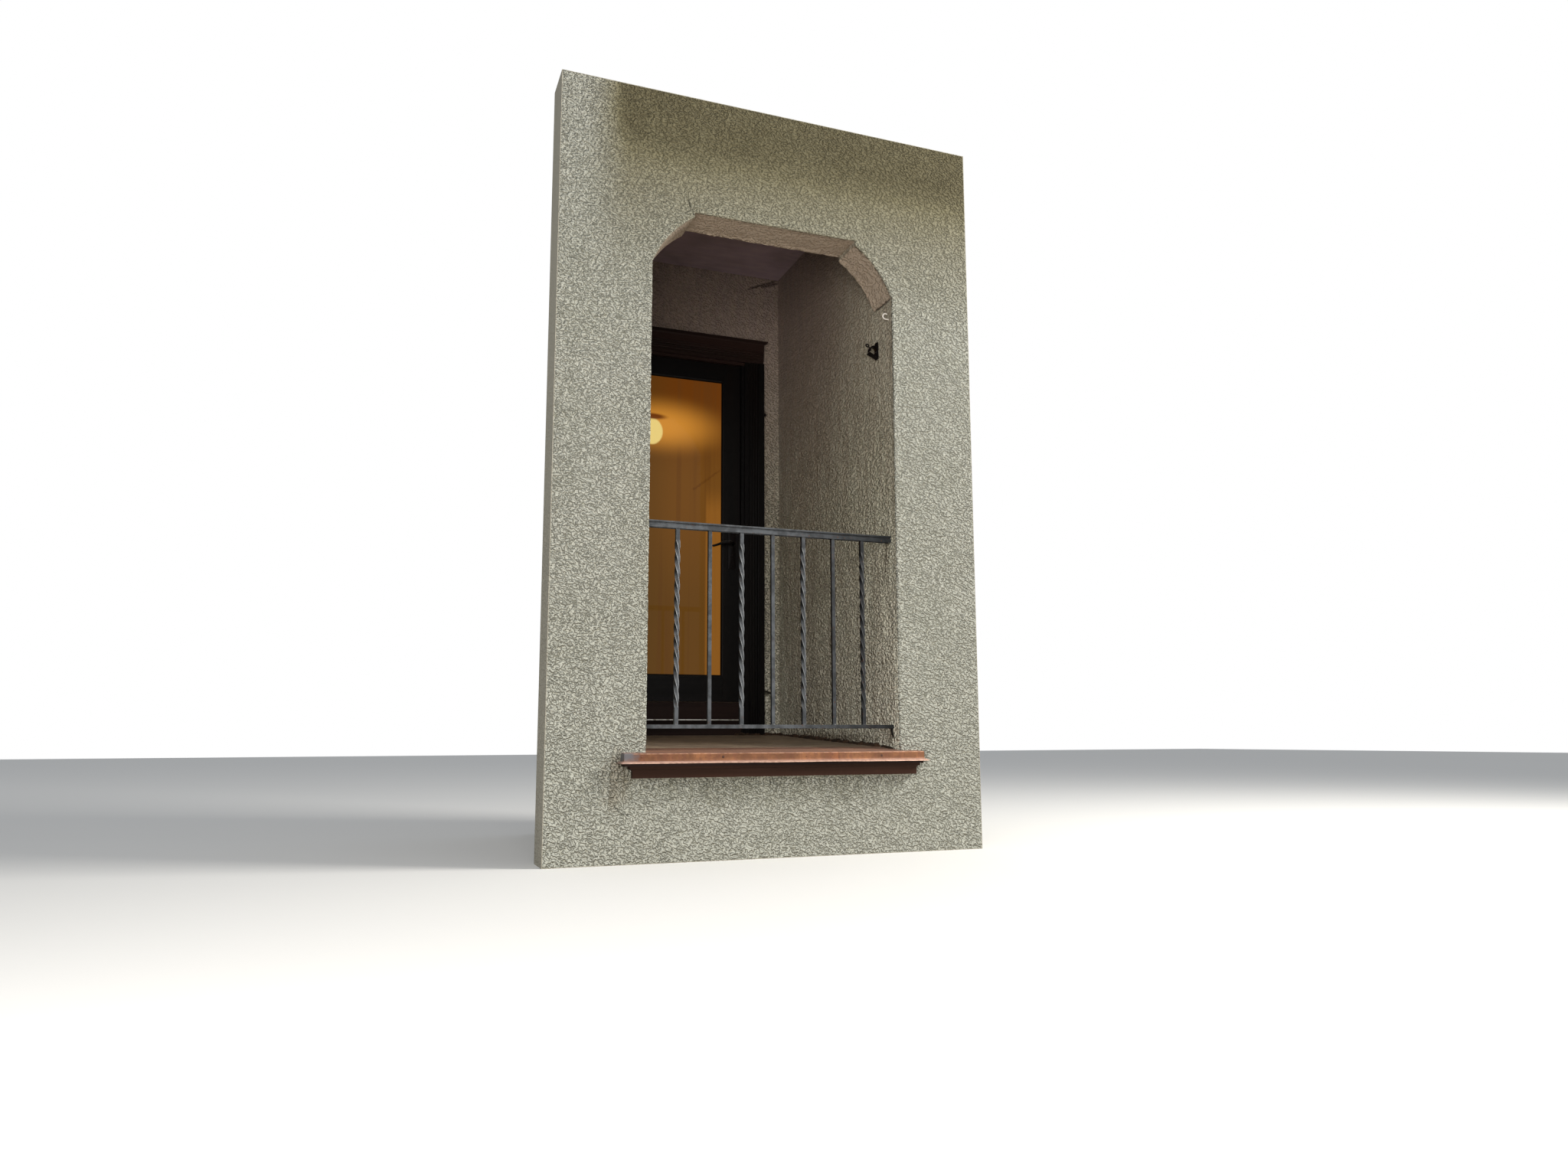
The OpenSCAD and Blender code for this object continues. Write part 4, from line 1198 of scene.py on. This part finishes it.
def lever_rings():
    """An oval section along a bent path: half sizes go from 11 by 12 mm at the neck to 5 by
    6.5 mm at the tip. The path leaves the plate, turns in its first third, and sinks near
    its end."""
    t = np.linspace(0, 1, 40)
    reach = np.clip((t - 0.12) / 0.88, 0, 1) * LEVER_REACH
    y = -(4 + 38 * ease(t / 0.3)) * MM + reach * 0.05
    z = 4 * MM * np.sin(t * math.pi) - 22 * MM * ease((t - 0.35) / 0.65)
    end = np.sqrt(np.clip(1 - ((t - 0.94) / 0.0605).clip(0, 1) ** 2, 0.02, 1))
    thick = (11 - 6 * ease(t / 0.8)) * MM * end
    tall = (12 - 5.5 * ease(t / 0.9)) * MM * end
    return sweep(grid(PLATE_X - reach, y, LEVER_Z + z), (0, 0, 1.0), thick[:, None], tall[:, None], 15)


one_side = [disc_rings(*disc) for disc in DISCS] + [lever_rings()]
outside = [tube(rings + (0, leaf_low.y, 0)) for rings in one_side]
inside = [tube(rings * (1, -1, 1) + (0, leaf_high.y, 0)) for rings in one_side]
make_piece("lever_handle", outside + inside, BLACK, ["door_handle"])

# %% [markdown]
# ## Mortar where pieces meet
#
# The render was put on after the woodwork, so it laps raggedly against the moulding under
# the sill, the ends of the copper and the door casing. Each lap is a bead in the corner of
# two faces, with a reach that varies along it.

# %% Beads of mortar
OUT = (0, -1, 0)
UP = (0, 0, 1)
DOWN = (0, 0, -1)
UPRIGHT_REACH = 6 * MM
LEVEL_REACH = 7 * MM
TUCK = 1.5 * MM
BEHIND = 3 * MM


def bead(points, first, second, reach, rough, seed, step=5 * MM):
    """A bead in the corner between two faces. At each point the section runs from reach
    along the first direction to reach along the second, hollowed a little, and comes back
    through a hidden point behind the corner."""
    spine = along(points, step)
    first, second = np.array(first, dtype=float), np.array(second, dtype=float)
    size = reach * (1 + rough * soft_noise(spine, 28, seed) + rough * 0.6 * soft_noise(spine, 90, seed + 1))
    from_end = np.minimum(np.arange(len(spine)), np.arange(len(spine))[::-1])
    size *= 0.25 + 0.75 * np.sqrt(ease(from_end / 3))
    t = np.radians(np.linspace(0, 90, 6))
    a, b = size[:, None] * np.cos(t) ** 1.5, size[:, None] * np.sin(t) ** 1.5
    rings = spine[:, None] + first * a[..., None] + second * b[..., None]
    rings += soft_noise(rings, 160, seed + 2)[..., None] * (first + second) * rough * reach * 0.35
    rings[:, 0] -= second * TUCK
    rings[:, -1] -= first * TUCK
    hidden = spine[:, None] - (first + second) * BEHIND
    return tube(np.concatenate([rings, hidden], axis=1))


def upright(x, y, bottom, top, side, rough, seed):
    """A bead up a wall, on the left or right of what stands against it."""
    return bead([(x, y, bottom), (x, y, top)], OUT, (side, 0, 0), UPRIGHT_REACH, rough, seed)


def level(start, stop, y, z, way, rough, seed):
    """A bead along a wall, above or below what stands against it."""
    return bead([(start, y, z), (stop, y, z)], OUT, way, LEVEL_REACH, rough, seed)


bed_low, bed_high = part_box("bed_moulding")
casing_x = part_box("casing_right")[1].x
cap_low, cap_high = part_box("casing_cap")
horn_z = floor_z - SILL_FALL * (front_wall_back_y - face_y) / (front_wall_back_y - NOSE_Y)
horn_x, horn_end_x = jamb_x + 2 * MM, END_X - 1 * MM
at_sill = [level(bed_low.x + 16 * MM, bed_high.x - 16 * MM, face_y, bed_low.z, DOWN, 0.55, 41)]
at_sill += [level(side * horn_x, SILL_X + side * horn_end_x, face_y, horn_z, UP, 0.5, 45 + side)
            for side in (-1, 1)]
at_sill += [upright(x, face_y, bed_low.z, bed_high.z, side, 0.5, 50 + side)
            for x, side in ((bed_low.x + 12 * MM, -1), (bed_high.x - 12 * MM, 1))]
make_piece("mortar_at_sill", at_sill, RENDER)
at_casing = [upright(side * casing_x, back_wall_y, floor_z + 80 * MM, cap_low.z, side, 0.6, 60 + side)
             for side in (-1, 1)]
at_casing.append(level(cap_low.x, cap_high.x, back_wall_y, cap_high.z, UP, 0.6, 66))
make_piece("mortar_at_casing", at_casing, RENDER)

# %% [markdown]
# ## Dirt and leftovers
#
# Wind has blown dirt into the right-hand foot of the recess, where it has packed into a low
# drift along the side wall, the back wall and the sill. Small leftovers of old fixings
# stay on the walls: a stub of wire, a lug under the lower rail and a knob by the casing.

# %% Drifts of dirt
DRIFT_UP = (0, 0, 0.6)
DRIFT_STEP = 6 * MM
LEFT = (-1, 0, 0)


def drift(start, stop, out, reach, seed):
    """A bead of dirt along a wall's foot whose reach swells and dwindles by a slow noise."""
    return bead(along([start, stop], DRIFT_STEP), out, DRIFT_UP, reach, 0.45, seed, DRIFT_STEP)


deck_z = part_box("floor_deck")[1].z
deck_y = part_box("floor_deck")[0].y
foot = (jamb_x, back_wall_y, deck_z)
drifts = [
    drift((jamb_x, deck_y + 10 * MM, floor_z), foot, LEFT, 22 * MM, 71),
    drift(foot, (0.30, back_wall_y, deck_z), OUT, 22 * MM, 73),
    drift((jamb_x, face_y + 60 * MM, horn_z + 1 * MM), (jamb_x, deck_y - 4 * MM, floor_z), LEFT, 13 * MM, 75)]
make_piece("dirt_drifts", drifts, DIRT)

# %% Wire stub, lug and knob
ROD_UP = (0.3, 0.2, 0.93)
STUB_R = 1.6 * MM
LUG_R = 4.5 * MM
KNOB_R = np.array([9, 8, 4])[:, None] * MM


def rod(points, radius, count=10):
    """A round rod along points."""
    return tube(sweep(points, ROD_UP, radius, radius, count))


rail_low, rail_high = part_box("guard_bottom_rail")
lug_y = (rail_low.y + rail_high.y) / 2 - 4 * MM
stub = along([(jamb_x + 2 * MM, -0.602, 2.262), (jamb_x - 7 * MM, -0.606, 2.272),
              (jamb_x - 9 * MM, -0.622, 2.304)], 3 * MM)
lug = along([(jamb_x - 7 * MM, lug_y, rail_low.z + 2 * MM), (jamb_x - 5 * MM, lug_y, rail_low.z - 24 * MM),
             (jamb_x + 1 * MM, lug_y, rail_low.z - 40 * MM)], 4 * MM)
knob = [(0.484, back_wall_y + 1 * MM, 2.356), (0.484, back_wall_y - 5 * MM, 2.356),
        (0.484, back_wall_y - 9 * MM, 2.355)]
make_piece("leftover_iron", [rod(stub, STUB_R), rod(lug, LUG_R), rod(knob, KNOB_R, 12)], BLACK)

# %% [markdown]
# ## Floor and light
#
# The bay stands on a plain pale floor under a soft studio light: a bright even sky, and one
# large soft lamp from the upper right, in front, which models the dash of the render. A
# second, low one on the left, which mirrors don't show, stands for the light that a street
# throws back up, and reaches the soffit, the side wall and the ceiling of the recess.

# %% Floor, sky and lamps
LAMP_SIZE = 3.0
KEY_WATTS = 640.0
FILL_WATTS = 300.0
SKY_STRENGTH = 0.42
FLOOR_SIZE = 60


def add_floor():
    """A wide pale floor. The light it throws back up is cut down, so that the soffit and
    the ceiling stay as dark as they are over a street."""
    bpy.ops.mesh.primitive_plane_add(size=FLOOR_SIZE, location=(0, 0, 0))
    plane = bpy.context.object
    plane.name = "floor"
    finish = Finish("pale_floor", (236, 236, 234), Roughness=0.9)
    finish.lay(add(finish.tree, "LightPath").outputs["Is Diffuse Ray"], (186, 176, 164))
    plane.data.materials.append(finish.done())
    return plane


def make_sky():
    """Plain white for the camera and for mirrors, and for diffuse light a soft dome that is
    brightest overhead: 1 at the zenith, 0.85 at the horizon and a tenth of that below."""
    world = bpy.context.scene.world or bpy.data.worlds.new("studio")
    bpy.context.scene.world = world
    world.use_nodes = True
    tree = world.node_tree
    tree.nodes.clear()
    height = Value(tree, add(tree, "TexCoord").outputs["Generated"]).parts()[2]
    glow = height.between(0.0, 1.0, 0.85, 1.0) * height.between(-0.15, 0.0, 0.1, 1.0) * SKY_STRENGTH
    dome = add(tree, "Background", {"Color": paint(246, 250, 255), "Strength": glow})
    plain = add(tree, "Background", {"Color": paint(255, 255, 255), "Strength": 1.0})
    path = add(tree, "LightPath").outputs
    seen = Value(tree, path["Is Camera Ray"])
    for ray in ("Is Glossy Ray", "Is Transmission Ray"):
        seen = seen.math("ADD", path[ray], clamp=True)
    chosen = add(tree, "MixShader", {0: seen, 1: dome.outputs[0], 2: plain.outputs[0]})
    add(tree, "OutputWorld", {0: chosen.outputs[0]})


def add_lamp(name, at, aim, watts, colour):
    """A square soft lamp."""
    lamp = bpy.data.lights.new(name, "AREA")
    lamp.shape = "SQUARE"
    lamp.size = LAMP_SIZE
    lamp.energy = watts
    lamp.color = colour
    placed = bpy.data.objects.new(name, lamp)
    bpy.context.scene.collection.objects.link(placed)
    placed.location = at
    placed.rotation_euler = (Vector(aim) - Vector(at)).to_track_quat("-Z", "Y").to_euler()
    return placed


make_sky()
key = add_lamp("key", at=(5.4, -3.6, 4.8), aim=(0.0, -0.6, 1.7), watts=KEY_WATTS, colour=(1.0, 0.96, 0.9))
fill = add_lamp("fill", at=(-2.4, -5.6, 0.9), aim=(0.2, 0.3, 1.9), watts=FILL_WATTS, colour=(1.0, 0.95, 0.9))
fill.visible_glossy = False
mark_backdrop(add_floor(), key, fill)
bpy.context.scene.view_settings.view_transform = "Standard"
print("lamps:", KEY_WATTS, "and", FILL_WATTS, "W, sky:", SKY_STRENGTH)

# %% Sizes of the finished bay, and the end
low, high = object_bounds()
